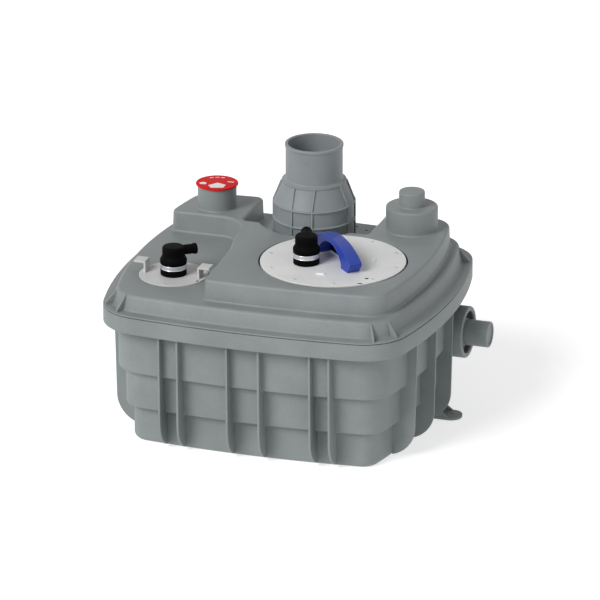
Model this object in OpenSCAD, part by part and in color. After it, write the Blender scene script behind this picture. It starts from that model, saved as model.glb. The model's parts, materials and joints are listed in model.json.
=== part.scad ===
/* [Tank] */
// Length of the tank over the rim, along X
tank_l = 650; // [640:1:660]
// Depth of the tank over the rim, along Y
tank_w = 591; // [570:1:620]
// Height of the tank up to the seam with the lid
tank_h = 272; // [262:1:300]
// Bow radius of the front and rear faces
front_bow_r = 2000; // [1500:10:3000]
// Bow radius of the left and right faces
side_bow_r = 950; // [900:10:1500]
// Outer radius of the rim corners
corner_r = 92; // [80:1:105]
// Height of the rim skirt
rim_h = 33; // [28:1:36]
// Wall thickness of the mouldings
wall = 5; // [4:0.5:6]
// Thickness of the rim skirt
rim_skin = 4; // [3:0.5:5]
// How far the upper course stands in from the rim
step_top = 29; // [26:1:32]
// How far the middle course stands in from the rim
step_mid = 43; // [38:1:46]
// How far the lower course stands in from the rim
step_low = 58; // [54:1:61]
// Height of the lower course
course_low_h = 74; // [66:1:80]
// Drop from the tank's top edge to the middle course's top
course_mid_drop = 123; // [123:1:134]
// Thickness of the tank floor
floor_t = 6; // [5:0.5:8]

/* [Fins] */
// Thickness of the stiffening fins
fin_t = 4.5; // [3:0.5:6]
// Place of the inner pair of front and rear fins
fin_x1 = 31.5; // [26:0.5:40]
// Place of the middle pair of front and rear fins
fin_x2 = 131.5; // [125:0.5:142]
// Place of the outer pair of front and rear fins
fin_x3 = 169; // [160:0.5:180]
// Place of the inner pair of side fins
fin_y1 = 53; // [48:0.5:54]
// Place of the outer pair of side fins
fin_y2 = 144; // [130:1:150]
// Inset of a fin's edge under the rim
fin_top_inset = 10; // [8:1:14]
// Inset of a fin's edge where its foot curve starts
fin_low_inset = 15; // [14:1:20]
// Radius of the fin's foot curve
fin_foot_r = 60; // [58:1:64]

/* [Fixing lugs] */
// Place of the lugs along Y
lug_y = 84; // [78:1:100]
// Width of a lug
lug_w = 44; // [36:1:52]
// Reach of a lug from the lower wall
lug_reach = 58; // [52:1:66]
// Thickness of a lug
lug_t = 6; // [5:0.5:8]
// Radius of the lug's screw hole
lug_hole_r = 5; // [4:0.25:6]

/* [Side inlet] */
// Depth of the side inlet's axis below the rim
side_drop = 104; // [98:1:108]
// Place of the side inlet's axis along Y
side_y = 108; // [108:1:116]
// Outer radius of the side collar
side_collar_r = 50; // [47:0.5:52]
// Wall of the side collar
side_collar_wall = 6; // [4:0.5:8]
// Reach of the collar past the rim
side_collar_reach = 1.5; // [0:0.5:8]
// Outer radius of the closed stub
side_stub_r = 25; // [20:0.5:28]
// Reach of the closed stub past the rim
side_stub_reach = 44; // [36:1:56]
// Radius of the closed stub's root
side_root_r = 27; // [26:0.5:30]
// Wall of the closed stub
side_stub_wall = 4; // [3:0.5:5]

/* [Lid] */
// Thickness of the lid flange
flange_t = 3.5; // [3:0.5:5]
// Inset of the lower deck's wall from the rim at the front
deck_a_inset = 28; // [25:1:32]
// Inset of the lower deck's wall from the rim at the sides
deck_a_side = 25; // [22:1:30]
// Inset of the lower deck's rear wall
deck_a_rear = 31; // [28:1:36]
// Height of the lower deck above the seam
deck_a_h = 35; // [30:1:40]
// Inset of the upper deck at the sides
deck_b_inset = 44; // [42:1:50]
// Inset of the upper deck at the front
deck_b_front = 59; // [54:1:62]
// Inset of the upper deck at the rear
deck_b_rear = 58; // [54:1:64]
// Height of the upper deck above the lower one
deck_b_h = 42; // [36:1:48]
// Corner radius of the upper deck
deck_b_corner = 46; // [40:1:56]
// Distance from the left rim to the hatch recess's wall at its front end
recess_front_in = 232; // [228:1:237]
// Distance from the left rim to the hatch recess's wall at its rear end
recess_rear_in = 208; // [203:1:213]
// Rear wall of the hatch recess
recess_back_y = 104; // [100:1:110]
// Inner corner radius of the hatch recess
recess_corner_r = 56; // [45:1:62]
// Thickness of the corner gussets
gusset_t = 4; // [3:0.5:5]

/* [Inlet tower] */
// Place of the rear row of spigots along Y
spigot_y = 152.5; // [148:0.5:156]
// Nominal outer radius of the inlet spigot
inlet_r = 55; // [54:0.5:56]
// Wall of the inlet tower
inlet_wall = 5; // [4:0.5:6]
// Radius of the tower's body
tower_r = 77; // [74:0.5:80]
// Height of the tower's straight body
tower_body_h = 76; // [68:1:84]
// Height of the tower's cone
tower_cone_h = 43; // [38:1:50]
// Height of the spigot above the cone
tower_spigot_h = 73; // [65:1:85]
// Height of the tower's ribs and rings
tower_rib = 3; // [2:0.5:4]
// Thickness of the tower's upright ribs
tower_rib_t = 3; // [2:0.5:4]
// Angle of each rib from its pair's middle
tower_rib_angle = 14.5; // [10:0.5:20]
// Radius of the cleared space round the tower
tower_clear_r = 106; // [100:1:112]
// Distance from the rims at the sides to the rear recess
rear_recess_in = 199; // [193:1:205]
// Thickness of the seal under the tower
tower_seal_t = 2.5; // [2:0.5:4]

/* [Vent and plug] */
// Distance of vent and plug from the rims at the sides
side_spigot_in = 128; // [123:1:133]
// Outer radius of the vent spigot
vent_r = 37.5; // [36:0.5:40]
// Height of the vent spigot
vent_h = 46; // [40:1:52]
// Wall of the vent spigot and the plug
spigot_wall = 4; // [3:0.5:5]
// Thickness of the vent cap's disc
cap_t = 3; // [2:0.5:4]
// Overhang of the vent cap
cap_over = 3.5; // [2:0.5:5]
// Depth of the vent cap's inner ring
cap_ring_h = 12; // [8:1:16]
// Outer radius of the closed plug
plug_r = 50; // [46:0.5:52]
// Height of the closed plug
plug_h = 47; // [40:1:54]
// Outer radius of the plug's top stub
plug_stub_r = 25; // [20:0.5:28]
// Height of the plug's top stub
plug_stub_h = 30; // [24:1:36]

/* [Motor cover] */
// Place of the pump axis along X
pump_x = 109; // [107:0.5:112]
// Place of the pump axis along Y
pump_y = -63.5; // [-66:0.5:-61]
// Radius of the motor cover
cover_r = 141.5; // [138:0.5:143]
// Thickness of the motor cover
cover_t = 8; // [7:0.5:9]
// How far the cover stands proud of the deck
cover_proud = 1; // [0.5:0.25:2]
// Width of the black seal round the cover
seal_w = 3; // [2.5:0.25:4]
// Thickness of the seal under the cover
seal_t = 1; // [0.75:0.25:1.5]
// Radius of the opening under the cover
opening_r = 112; // [110:1:115]
// Radius of the ring of cover screws
cover_screw_ring = 125; // [122:0.5:128]
// Number of cover screws
cover_screws = 10; // [8:1:12]
// Shank radius of the cover screws
cover_screw_r = 2.2; // [2:0.1:2.5]
// Head radius of the cover screws
cover_head_r = 3.6; // [3.3:0.1:4.5]
// Height of the screw heads
head_h = 1.2; // [1:0.1:1.6]
// Radius of the ring of motor fixing caps
fixing_ring = 77; // [75:0.5:79]
// Length of a fixing cap
fixing_cap_l = 18; // [16:0.5:20]
// Width of a fixing cap
fixing_cap_w = 7; // [6:0.5:8]
// Height of a fixing cap
fixing_cap_h = 2.5; // [2:0.5:3]

/* [Handle] */
// Place of the handle's middle along X
handle_x = 112; // [110:0.5:114]
// Place of the handle's middle along Y
handle_y = -57.5; // [-59:0.5:-55]
// Direction of the handle, in degrees
handle_turn = -46; // [-50:1:-42]
// Overall length of the handle
handle_l = 172; // [164:1:180]
// Overall height of the handle
handle_h = 47; // [44:1:54]
// Width of the handle
handle_w = 26; // [20:1:30]
// Length of the finger gap between the feet
handle_gap_l = 96; // [90:1:100]
// Height of the finger gap
handle_gap_h = 36; // [33:1:38]
// Height of the handle's feet
handle_foot_h = 9; // [8:1:12]
// Height of the handle's outer ends
handle_end_h = 20; // [16:1:24]

/* [Hatch] */
// Distance of the hatch's middle from the left rim
hatch_in = 134; // [132:0.5:137]
// Place of the hatch along Y
hatch_y = -122.5; // [-126:0.5:-119]
// Radius of the hatch cover
hatch_r = 66; // [64:0.5:68]
// Thickness of the hatch cover
hatch_t = 5; // [4:0.5:6]
// How far the hatch stands proud of its deck
hatch_proud = 2; // [1:0.5:3]
// Radius of the opening under the hatch
hatch_opening_r = 50; // [49:0.5:52]
// Distance of a grip's web from the hatch's middle
grip_web_x = 54; // [52:0.5:56]
// Thickness of a grip's web and plate
grip_t = 4; // [3:0.5:5]
// Depth of a grip along Y
grip_w = 20; // [16:1:24]
// Height of a grip
grip_h = 23; // [20:1:26]
// Reach of a grip's plate outwards
grip_reach = 24; // [20:1:27]

/* [Cable boots] */
// Radius of a boot's foot
boot_r = 25; // [23:0.5:26]
// Height of a boot's foot below the clamp
boot_foot_h = 12; // [10:0.5:14]
// Width of a clamp's band
clamp_w = 10; // [8:0.5:12]
// Thickness of a clamp's band
clamp_t = 1; // [0.8:0.1:1.4]
// Radius of a boot's upper body
boot_top_r = 21.5; // [20:0.5:22.5]
// Overall height of a boot
boot_h = 56.5; // [54:0.5:62]
// Wall of a boot
boot_wall = 3; // [2.5:0.25:4]
// Radius of a boot's nozzle
nozzle_r = 9.5; // [8:0.5:10.5]
// Reach of a boot's nozzle from its axis
nozzle_reach = 46; // [42:1:50]
// Bore radius of a boot's nozzle
nozzle_bore_r = 5; // [4:0.25:6]
// Direction of the hatch boot's nozzle
hatch_nozzle_turn = 38; // [30:1:45]
// Direction of the motor boot's nozzle
motor_nozzle_turn = 108; // [90:1:120]
// Place of the motor boot from the pump axis, along X
motor_boot_dx = -44.4; // [-46:0.2:-42]
// Place of the motor boot from the pump axis, along Y
motor_boot_dy = -27.6; // [-30:0.2:-26]

/* [Motor] */
// Radius of the shaft
shaft_r = 8; // [7:0.5:9]
// Outer radius of the motor can
can_r = 66; // [63:0.5:68]
// Wall of the motor can
can_wall = 4; // [3:0.5:5]
// Height of the can's floor above the base
can_z = 128; // [124:1:132]
// Thickness of the can's floor
can_floor_t = 16; // [15:0.5:18]
// Radius of the rotor core
rotor_r = 32; // [29:0.5:35]
// Air gap between rotor and stator
air_gap = 0.5; // [0.4:0.1:0.8]
// Length of the stator and rotor cores
core_l = 90; // [80:1:95]
// Overhang of the windings past the core
winding_l = 18; // [14:1:20]
// Outer radius of the bearings
bearing_r = 20; // [18:0.5:22]
// Width of the bearings
bearing_w = 12; // [10:0.5:14]
// Radius of the capacitor
capacitor_r = 15; // [13:0.5:16]

/* [Pump] */
// Outer radius of the pump casing
casing_r = 78; // [76:0.5:82]
// Height of the pump casing
casing_h = 50; // [48:1:52]
// Wall of the pump casing
casing_wall = 8; // [7:0.5:9]
// Height of the casing's underside above the base
casing_z = 50; // [49:0.5:54]
// Radius of the impeller
impeller_r = 62; // [56:1:66]
// Number of impeller vanes
impeller_vanes = 5; // [4:1:6]
// Thickness of an impeller vane
vane_t = 5; // [4:0.5:6]
// Thickness of the cutting plate
plate_t = 6; // [5:0.5:7]
// Radius of the cutting plate's mouth
mouth_r = 30; // [27:0.5:32]
// Number of cutting notches round the mouth
notches = 8; // [6:1:10]
// Length of the knife's blades from the axis
knife_r = 38; // [35:0.5:42]
// Thickness of the knife
knife_t = 6; // [5:0.5:7]
// Number of windows in the strainer
strainer_windows = 12; // [10:1:14]
// Width of a strainer window
strainer_window_w = 22; // [18:1:24]

/* [Discharge] */
// Outer radius of the discharge pipe
pipe_r = 25; // [24:0.5:26]
// Wall of the discharge pipe
pipe_wall = 4; // [3:0.5:5]
// Radius of the coupling flanges
coupling_r = 32; // [31:0.5:34]
// Thickness of the coupling flanges
coupling_t = 8; // [6:0.5:9]
// Distance of the coupling face from the pump axis
coupling_d = 88; // [86:0.5:90]
// Sideways offset of the casing's outlet from the pump axis
outlet_off = 26; // [24:0.5:28]
// Bend radius of the discharge pipe
bend_r = 40; // [36:1:44]
// Depth of the outlet's axis below the rim
outlet_drop = 86; // [84:1:88]
// Distance of the pipe's rise from the rear rim
riser_back = 130; // [120:1:140]
// Width of the check valve's body
valve_w = 74; // [70:1:80]
// Length of the check valve's body
valve_l = 64; // [62:1:70]
// Wall of the check valve's body
valve_wall = 5; // [4:0.5:6]
// Radius of the valve's flap
flap_r = 24; // [23.5:0.5:26]
// Thickness of the valve's flap
flap_t = 4; // [3:0.5:5]
// Radius of the flap's pin
pin_r = 3; // [2.5:0.25:3.5]
// Height of the pin above the outlet's axis
pin_up = 26; // [25.5:0.5:27]
// Thickness of the rubber sleeve
sleeve_wall = 5; // [4:0.5:6]
// Length of the rubber sleeve
sleeve_l = 46; // [44:1:54]
// How far the sleeve covers the valve's spigot
sleeve_grip = 22; // [20:1:26]

/* [Level sensor] */
// Radius of the level switch housing
switch_r = 40; // [36:0.5:44]
// Height of the level switch housing
switch_h = 34; // [30:1:40]
// Outer radius of the long dip tube
dip_r = 14; // [12:0.5:16]
// Height of the long tube's mouth above the floor
dip_gap = 30; // [25:1:40]
// Outer radius of the alarm tube
alarm_r = 8; // [7:0.5:9]
// Length of the alarm tube
alarm_l = 120; // [100:5:140]
// Wall of both tubes
dip_wall = 2; // [1.5:0.25:2.5]

/* [Fits] */
// Gap between a removable part and what it stands in
loose_fit = 0.3; // [0.2:0.05:0.5]
// Radial clearance of a running shaft or pin
run_fit = 0.07; // [0.06:0.01:0.09]
// Radial clearance of a part fixed on its shaft
fixed_fit = 0.05; // [0.04:0.01:0.06]

/* [Hidden] */
$fn = 64;

plastic = [0.47, 0.49, 0.49];
white = [0.84, 0.84, 0.82];
black = [0.07, 0.07, 0.07];
steel = [0.75, 0.76, 0.78];
blue = [0.16, 0.28, 0.75];
red = [0.9, 0.1, 0.12];
copper = [0.72, 0.4, 0.2];
iron = [0.3, 0.31, 0.33];

// Small overlap that makes cuts and joins clean
eps = 0.5;
half_l = tank_l / 2;
half_w = tank_w / 2;
deck_a_z = tank_h + deck_a_h;
deck_b_z = deck_a_z + deck_b_h;
course_mid_h = tank_h - course_mid_drop;
side_z = tank_h - side_drop;
outlet_z = tank_h - outlet_drop;
hatch_x = hatch_in - half_l;
side_spigot_x = half_l - side_spigot_in;
rear_recess_x = half_l - rear_recess_in;
recess_front_x = recess_front_in - half_l;
recess_rear_x = recess_rear_in - half_l;
pump_pos = [pump_x, pump_y, 0];
hatch_pos = [hatch_x, hatch_y, 0];
cover_top = deck_b_z + cover_proud;
cover_bottom = cover_top - cover_t;
seat_z = cover_bottom - seal_t;
hatch_top = deck_a_z + hatch_proud;
hatch_bottom = hatch_top - hatch_t;
hatch_seat_z = hatch_bottom - seal_t;
tower_z = deck_a_z + tower_seal_t;
casing_top = casing_z + casing_h;
bearing_low_z = can_z + (can_floor_t - bearing_w) / 2;
core_z = can_z + can_floor_t + winding_l + wall;
bracket_z = core_z + core_l + winding_l + wall;
shaft_top = bracket_z + bearing_w + wall;
plate_z = casing_z - plate_t;
knife_z = plate_z - run_fit - knife_t;
knife_screw_h = 6;
coupling_y = pump_y + coupling_d;
coupling_z = casing_z + casing_h / 2;
riser_y = half_w - riser_back;
// How far a bowed face has drawn in at a distance from its middle
function bow(r, d) = r - sqrt(r * r - d * d);
outlet_x = pump_x - outlet_off;
outlet_wall_y = half_w - bow(front_bow_r, outlet_x) - step_top;
valve_off = 14;
valve_seat_t = 2;
pin_room = 4;
sleeve_gap = 2;
valve_y = outlet_wall_y + valve_off;
valve_end_y = valve_y + valve_l;
seat_face_y = valve_y + valve_wall + valve_seat_t;
pin_y = seat_face_y + flap_t + pin_r;
pin_z = outlet_z + pin_up;
valve_h_up = pin_up + pin_r + pin_room;
sleeve_y = valve_end_y + sleeve_gap;

// Corner centre of a bowed block, found by a few rounds of substitution
function corner(a, b, r1, r2, r, c = [0, 0], n = 8) =
    n == 0 ? c : corner(a, b, r1, r2, r,
        [a - r2 + sqrt(pow(r2 - r, 2) - c[1] * c[1]), b - r1 + sqrt(pow(r1 - r, 2) - c[0] * c[0])],
        n - 1);

// Points along an arc, from angle t0 to t1 in n steps
function arc(c, r, t0, t1, n) = [for (i = [0:n]) c + r * [cos(t0 + (t1 - t0) * i / n),
    sin(t0 + (t1 - t0) * i / n)]];

// One quarter of a bowed block's outline, from the middle of its side to the middle of its rear
function quarter(a, b, r1, r2, r) = let (c = corner(a, b, r1, r2, r), s = [a - r2, 0], f = [0, b - r1],
    t2 = atan2(c[1], c[0] - s[0]), t1 = atan2(c[1] - f[1], c[0]))
    concat(arc(s, r2, 0, t2, 3), [for (p = arc(c, r, t2, t1, 9)) p], arc(f, r1, t1, 90, 4));

function flip(points, sx, sy) = [for (p = points) [p[0] * sx, p[1] * sy]];
function back_to_front(points) = [for (i = [len(points) - 1:-1:0]) points[i]];
function shift(points, dy) = [for (p = points) [p[0], p[1] + dy]];
// Drops points that repeat the one before them
function tidy(points) = [for (i = [0:len(points) - 1])
    if (norm(points[i] - points[(i + 1) % len(points)]) > 0.001) points[i]];

// Bowed block outline between a front and a rear edge
function outline(a, y0, y1, r1, r2, r) = let (q = quarter(a, (y1 - y0) / 2, r1, r2, r))
    shift(tidy(concat(q, back_to_front(flip(q, -1, 1)), flip(q, -1, -1), back_to_front(flip(q, 1, -1)))),
        (y0 + y1) / 2);

// The rim outline, drawn in by an inset
module rim_block(inset, z0, z1) {
    translate([0, 0, z0])
        linear_extrude(z1 - z0)
            polygon(outline(half_l - inset, -half_w + inset, half_w - inset, front_bow_r - inset,
                side_bow_r - inset, corner_r - inset));
}

module tube_z(r_out, r_in, h) {
    difference() {
        cylinder(r = r_out, h = h);
        translate([0, 0, -eps])
            cylinder(r = r_in, h = h + 2 * eps);
    }
}

module tube_y(r_out, r_in, y0, y1) {
    translate([0, y0, 0])
        rotate([-90, 0, 0])
            tube_z(r_out, r_in, y1 - y0);
}

// A screw standing on its head's underside, shank down
module screw(head_r, head_height, shank_r, shank_l) {
    cylinder(r = head_r, h = head_height);
    translate([0, 0, -shank_l])
        cylinder(r = shank_r, h = shank_l + eps);
}

module ring_of(n, r, start = 0) {
    for (i = [0:n - 1])
        rotate(start + i * 360 / n)
            translate([r, 0, 0])
                children();
}

fin_top_z = tank_h - wall - fixed_fit;

// Side view of a fin: distance in from the rim, then height
function fin_outline() = let (bite = 2, foot_z = fin_foot_r + bite, cx = fin_low_inset + fin_foot_r,
    end = 360 - acos((step_low + bite - cx) / fin_foot_r))
    concat([[fin_top_inset, fin_top_z]], arc([cx, foot_z], fin_foot_r, 180, end, 8),
        [[step_low + bite, course_low_h + bite], [step_mid + bite, course_low_h + bite],
        [step_mid + bite, course_mid_h + bite], [step_top + bite, course_mid_h + bite],
        [step_top + bite, fin_top_z]]);

module front_fin(x) {
    translate([x - fin_t / 2, -half_w + bow(front_bow_r, x), 0])
        rotate([90, 0, 90])
            linear_extrude(fin_t)
                polygon(fin_outline());
}

module side_fin(y) {
    translate([-half_l + bow(side_bow_r, y), y + fin_t / 2, 0])
        rotate([90, 0, 0])
            linear_extrude(fin_t)
                polygon(fin_outline());
}

module all_fins() {
    for (m = [0, 1])
        mirror([0, m, 0])
            for (x = [fin_x1, fin_x2, fin_x3])
                for (side = [-1, 1])
                    front_fin(side * x);
    for (y = [-fin_y2, -fin_y1, fin_y1])
        for (m = [0, 1])
            mirror([m, 0, 0])
                side_fin(y);
    side_fin(fin_y2);
}

// Foot plate with a rounded tip, a screw hole and two gussets, on the right side
module lug() {
    wall_x = half_l - bow(side_bow_r, lug_y) - step_low;
    tip_x = wall_x + lug_reach - lug_w / 2;
    gusset_h = 26;
    difference() {
        union() {
            translate([wall_x - wall / 2, lug_y - lug_w / 2, 0])
                cube([tip_x - wall_x + wall / 2, lug_w, lug_t]);
            translate([tip_x, lug_y, 0])
                cylinder(r = lug_w / 2, h = lug_t);
        }
        translate([tip_x, lug_y, -eps])
            cylinder(r = lug_hole_r, h = lug_t + 2 * eps);
    }
    for (side = [-1, 1])
        translate([wall_x - wall / 2, lug_y + side * (lug_w - lug_t) / 2 + lug_t / 2, lug_t - eps])
            rotate([90, 0, 0])
                linear_extrude(lug_t)
                    polygon([[0, 0], [tip_x - wall_x + wall / 2, 0], [wall / 2, gusset_h],
                        [0, gusset_h]]);
}

// A cylinder along +X on the side inlet's axis
module side_rod(r, x0, x1) {
    translate([x0, side_y, side_z])
        rotate([0, 90, 0])
            cylinder(r = r, h = x1 - x0);
}

side_wall_x = half_l - bow(side_bow_r, side_y) - step_top;
collar_end_x = half_l + side_collar_reach;
stub_end_x = half_l + side_stub_reach;
web_x = side_wall_x + wall;
root_end_x = collar_end_x - wall;
side_deep_x = side_wall_x - step_low;
collar_bore_r = side_collar_r - side_collar_wall;
grommet_wall = 4;
pad_edge = 3;
pad_t = 3;
grommet_r = pipe_r + grommet_wall;
pad_r = grommet_r + pad_edge;

// Plain boss on the rear wall round the outlet
module outlet_pad() {
    translate([outlet_x, outlet_wall_y - wall - pad_t, outlet_z])
        rotate([-90, 0, 0])
            cylinder(r = pad_r, h = wall + 2 * pad_t);
}

// Floor and lower course, with the ledge that carries the middle course
module tank_base() {
    color(plastic)
        difference() {
            union() {
                rim_block(step_low, 0, course_low_h + wall);
                rim_block(step_mid, course_low_h, course_low_h + wall);
            }
            rim_block(step_low + wall, floor_t, course_low_h + wall + eps);
        }
}

// Middle course, with the ledge that carries the upper course
module tank_middle() {
    z0 = course_low_h + wall;
    color(plastic)
        difference() {
            union() {
                rim_block(step_mid, z0, course_mid_h + wall);
                rim_block(step_top, course_mid_h, course_mid_h + wall);
            }
            rim_block(step_mid + wall, z0 - eps, course_mid_h + wall + eps);
            side_rod(side_stub_r - side_stub_wall, side_deep_x, web_x);
        }
}

// Upper course with the rim plate and the skirt that hangs from it
module tank_top() {
    z0 = course_mid_h + wall;
    color(plastic)
        difference() {
            union() {
                difference() {
                    rim_block(0, tank_h - rim_h, tank_h);
                    rim_block(rim_skin, tank_h - rim_h - eps, tank_h - wall);
                }
                difference() {
                    rim_block(step_top, z0, tank_h);
                    rim_block(step_top + wall, z0 - eps, tank_h - wall);
                }
                outlet_pad();
            }
            rim_block(step_top + wall, tank_h - 2 * wall, tank_h + eps);
            side_rod(side_stub_r - side_stub_wall, side_deep_x, web_x);
            translate([outlet_x, outlet_wall_y - 3 * wall, outlet_z])
                rotate([-90, 0, 0])
                    cylinder(r = grommet_r, h = 6 * wall);
        }
}

// The room that the tank's walls take up, with a hair's gap round it
module wall_room() {
    rim_block(step_low - fixed_fit, -eps, course_low_h);
    rim_block(step_mid - fixed_fit, course_low_h - fixed_fit, course_mid_h);
    rim_block(step_top - fixed_fit, course_mid_h - fixed_fit, tank_h);
}

module tank_fins() {
    color(plastic)
        difference() {
            all_fins();
            wall_room();
        }
}

// Round collar on the wall with a closed stub inside it
module side_inlet() {
    color(plastic)
        difference() {
            union() {
                difference() {
                    side_rod(side_collar_r, side_deep_x, collar_end_x);
                    side_rod(collar_bore_r, web_x, collar_end_x + eps);
                }
                side_rod(side_root_r, web_x - eps, root_end_x);
                side_rod(side_stub_r, root_end_x - eps, stub_end_x);
                translate([web_x - eps, side_y - fin_t / 2, side_z - collar_bore_r - eps])
                    cube([root_end_x - wall - web_x, fin_t, collar_bore_r - side_stub_r]);
            }
            side_rod(side_stub_r - side_stub_wall, side_deep_x - eps, stub_end_x - side_stub_wall);
            wall_room();
        }
}

module fixing_lugs() {
    color(plastic)
        difference() {
            for (m = [0, 1])
                mirror([m, 0, 0])
                    lug();
            wall_room();
        }
}

module deck_a(i, z0, z1) {
    translate([0, 0, z0])
        linear_extrude(z1 - z0)
            polygon(outline(half_l - deck_a_side - i, -half_w + deck_a_inset + i,
                half_w - deck_a_rear - i, front_bow_r - deck_a_inset - i, side_bow_r - deck_a_side - i,
                corner_r - deck_a_inset - i));
}

module deck_b_block(i, z0, z1) {
    translate([0, 0, z0])
        linear_extrude(z1 - z0)
            polygon(outline(half_l - deck_b_inset - i, -half_w + deck_b_front + i,
                half_w - deck_b_rear - i, front_bow_r - deck_b_front - i, side_bow_r - deck_b_inset - i,
                deck_b_corner - i));
}

// The hatch's low corner of the upper deck, grown by g
module hatch_recess(g, z0, z1) {
    far = tank_l;
    c = [recess_rear_x - recess_corner_r, recess_back_y - recess_corner_r];
    translate([0, 0, z0])
        linear_extrude(z1 - z0)
            polygon(concat([[-far, -far], [recess_front_x + g, -far],
                [recess_front_x + g, -half_w + deck_b_front]], arc(c, recess_corner_r + g, 0, 90, 12),
                [[-far, recess_back_y + g]]));
}

// The space round the inlet tower, open to the rear, grown by g
module rear_recess(g, z0, z1) {
    translate([0, spigot_y, z0])
        cylinder(r = tower_clear_r + g, h = z1 - z0);
    translate([-rear_recess_x - g, spigot_y - inlet_r - g, z0])
        cube([2 * (rear_recess_x + g), tank_w, z1 - z0]);
}

module deck_b(i, z0, z1) {
    difference() {
        deck_b_block(i, z0, z1);
        hatch_recess(i, z0 - eps, z1 + eps);
        rear_recess(i, z0 - eps, z1 + eps);
    }
}

rim_corner = corner(half_l, half_w, front_bow_r, side_bow_r, corner_r);

gusset_edge = 3;
front_gussets = [-60, -27];
rear_gusset = -5;

// Thin rib from the flange up to the lower deck, at an angle round a front corner
module gusset(angle) {
    foot = deck_a_inset - gusset_edge;
    translate([rim_corner[0], -rim_corner[1], tank_h + flange_t - eps])
        rotate([0, 0, angle])
            translate([corner_r - deck_a_inset - 1, gusset_t / 2, 0])
                rotate([90, 0, 0])
                    linear_extrude(gusset_t)
                        polygon([[0, 0], [foot, 0], [1, deck_a_h - flange_t], [0, deck_a_h - flange_t]]);
}

seat_t = 8;
cover_recess_r = cover_r + seal_w;
hatch_recess_r = hatch_r + loose_fit;
drum_r = cover_recess_r + wall;
hatch_drum_r = hatch_recess_r + wall;

// Flange, lower deck with the hatch's seat, and the corner gussets
module lid_lower_deck() {
    color(plastic)
        difference() {
            union() {
                difference() {
                    union() {
                        rim_block(0, tank_h, tank_h + flange_t);
                        deck_a(0, tank_h, deck_a_z);
                    }
                    deck_a(wall, tank_h - eps, deck_a_z - wall);
                    deck_b(wall, deck_a_z - 2 * wall, deck_a_z + eps);
                }
                for (m = [0, 1])
                    mirror([m, 0, 0]) {
                        for (angle = front_gussets)
                            gusset(angle);
                        mirror([0, 1, 0])
                            gusset(rear_gusset);
                    }
                translate([hatch_x, hatch_y, hatch_seat_z - seat_t])
                    cylinder(r = hatch_drum_r, h = deck_a_z - hatch_seat_z + seat_t);
            }
            translate([pump_x, pump_y, tank_h])
                cylinder(r = opening_r, h = deck_a_h + eps);
            translate([hatch_x, hatch_y, hatch_seat_z])
                cylinder(r = hatch_recess_r, h = deck_b_h);
            translate([hatch_x, hatch_y, tank_h])
                cylinder(r = hatch_opening_r, h = deck_a_h + eps);
            hatch_screw_places()
                translate([0, 0, hatch_seat_z - seat_t - eps])
                    cylinder(r = hatch_screw_r + loose_fit, h = seat_t + 2 * eps);
            translate([0, spigot_y, tank_h])
                cylinder(r = tower_r - 2 * wall, h = deck_a_h + eps);
        }
}

// Upper deck with the seat of the motor cover
module lid_upper_deck() {
    color(plastic)
        difference() {
            union() {
                difference() {
                    deck_b(0, deck_a_z, deck_b_z);
                    deck_b(wall, deck_a_z - eps, deck_b_z - wall);
                }
                difference() {
                    translate([pump_x, pump_y, deck_a_z])
                        cylinder(r = drum_r, h = deck_b_h);
                    translate([pump_x, pump_y, deck_a_z - eps])
                        cylinder(r = drum_r - wall, h = seat_z - seat_t - deck_a_z + eps);
                }
            }
            translate([pump_x, pump_y, seat_z])
                cylinder(r = cover_recess_r, h = deck_b_h);
            translate([pump_x, pump_y, deck_a_z])
                cylinder(r = opening_r, h = deck_b_h);
            translate([pump_x, pump_y, 0])
                ring_of(cover_screws, cover_screw_ring)
                    translate([0, 0, seat_z - seat_t - eps])
                        cylinder(r = cover_screw_r + loose_fit, h = seat_t + 2 * eps);
            translate([-side_spigot_x, spigot_y, deck_b_z - 2 * wall])
                cylinder(r = vent_r - spigot_wall, h = 3 * wall);
            translate([side_spigot_x, spigot_y, deck_b_z - 2 * wall])
                cylinder(r = plug_r - spigot_wall, h = 3 * wall);
        }
}

module vent_pipe() {
    color(plastic)
        translate([-side_spigot_x, spigot_y, deck_b_z])
            tube_z(vent_r, vent_r - spigot_wall, vent_h);
}

// Stepped spigot that is moulded shut and cut open when it is needed
module plug_pipe() {
    color(plastic)
        translate([side_spigot_x, spigot_y, deck_b_z])
            difference() {
                union() {
                    cylinder(r = plug_r, h = plug_h);
                    cylinder(r = plug_stub_r, h = plug_h + plug_stub_h);
                }
                translate([0, 0, -eps]) {
                    cylinder(r = plug_r - spigot_wall, h = plug_h + eps - spigot_wall);
                    cylinder(r = plug_stub_r - spigot_wall,
                        h = plug_h + plug_stub_h + eps - spigot_wall);
                }
            }
}

// Height of the lower hoop, as a share of the tower's body
hoop_share = 0.55;

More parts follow.
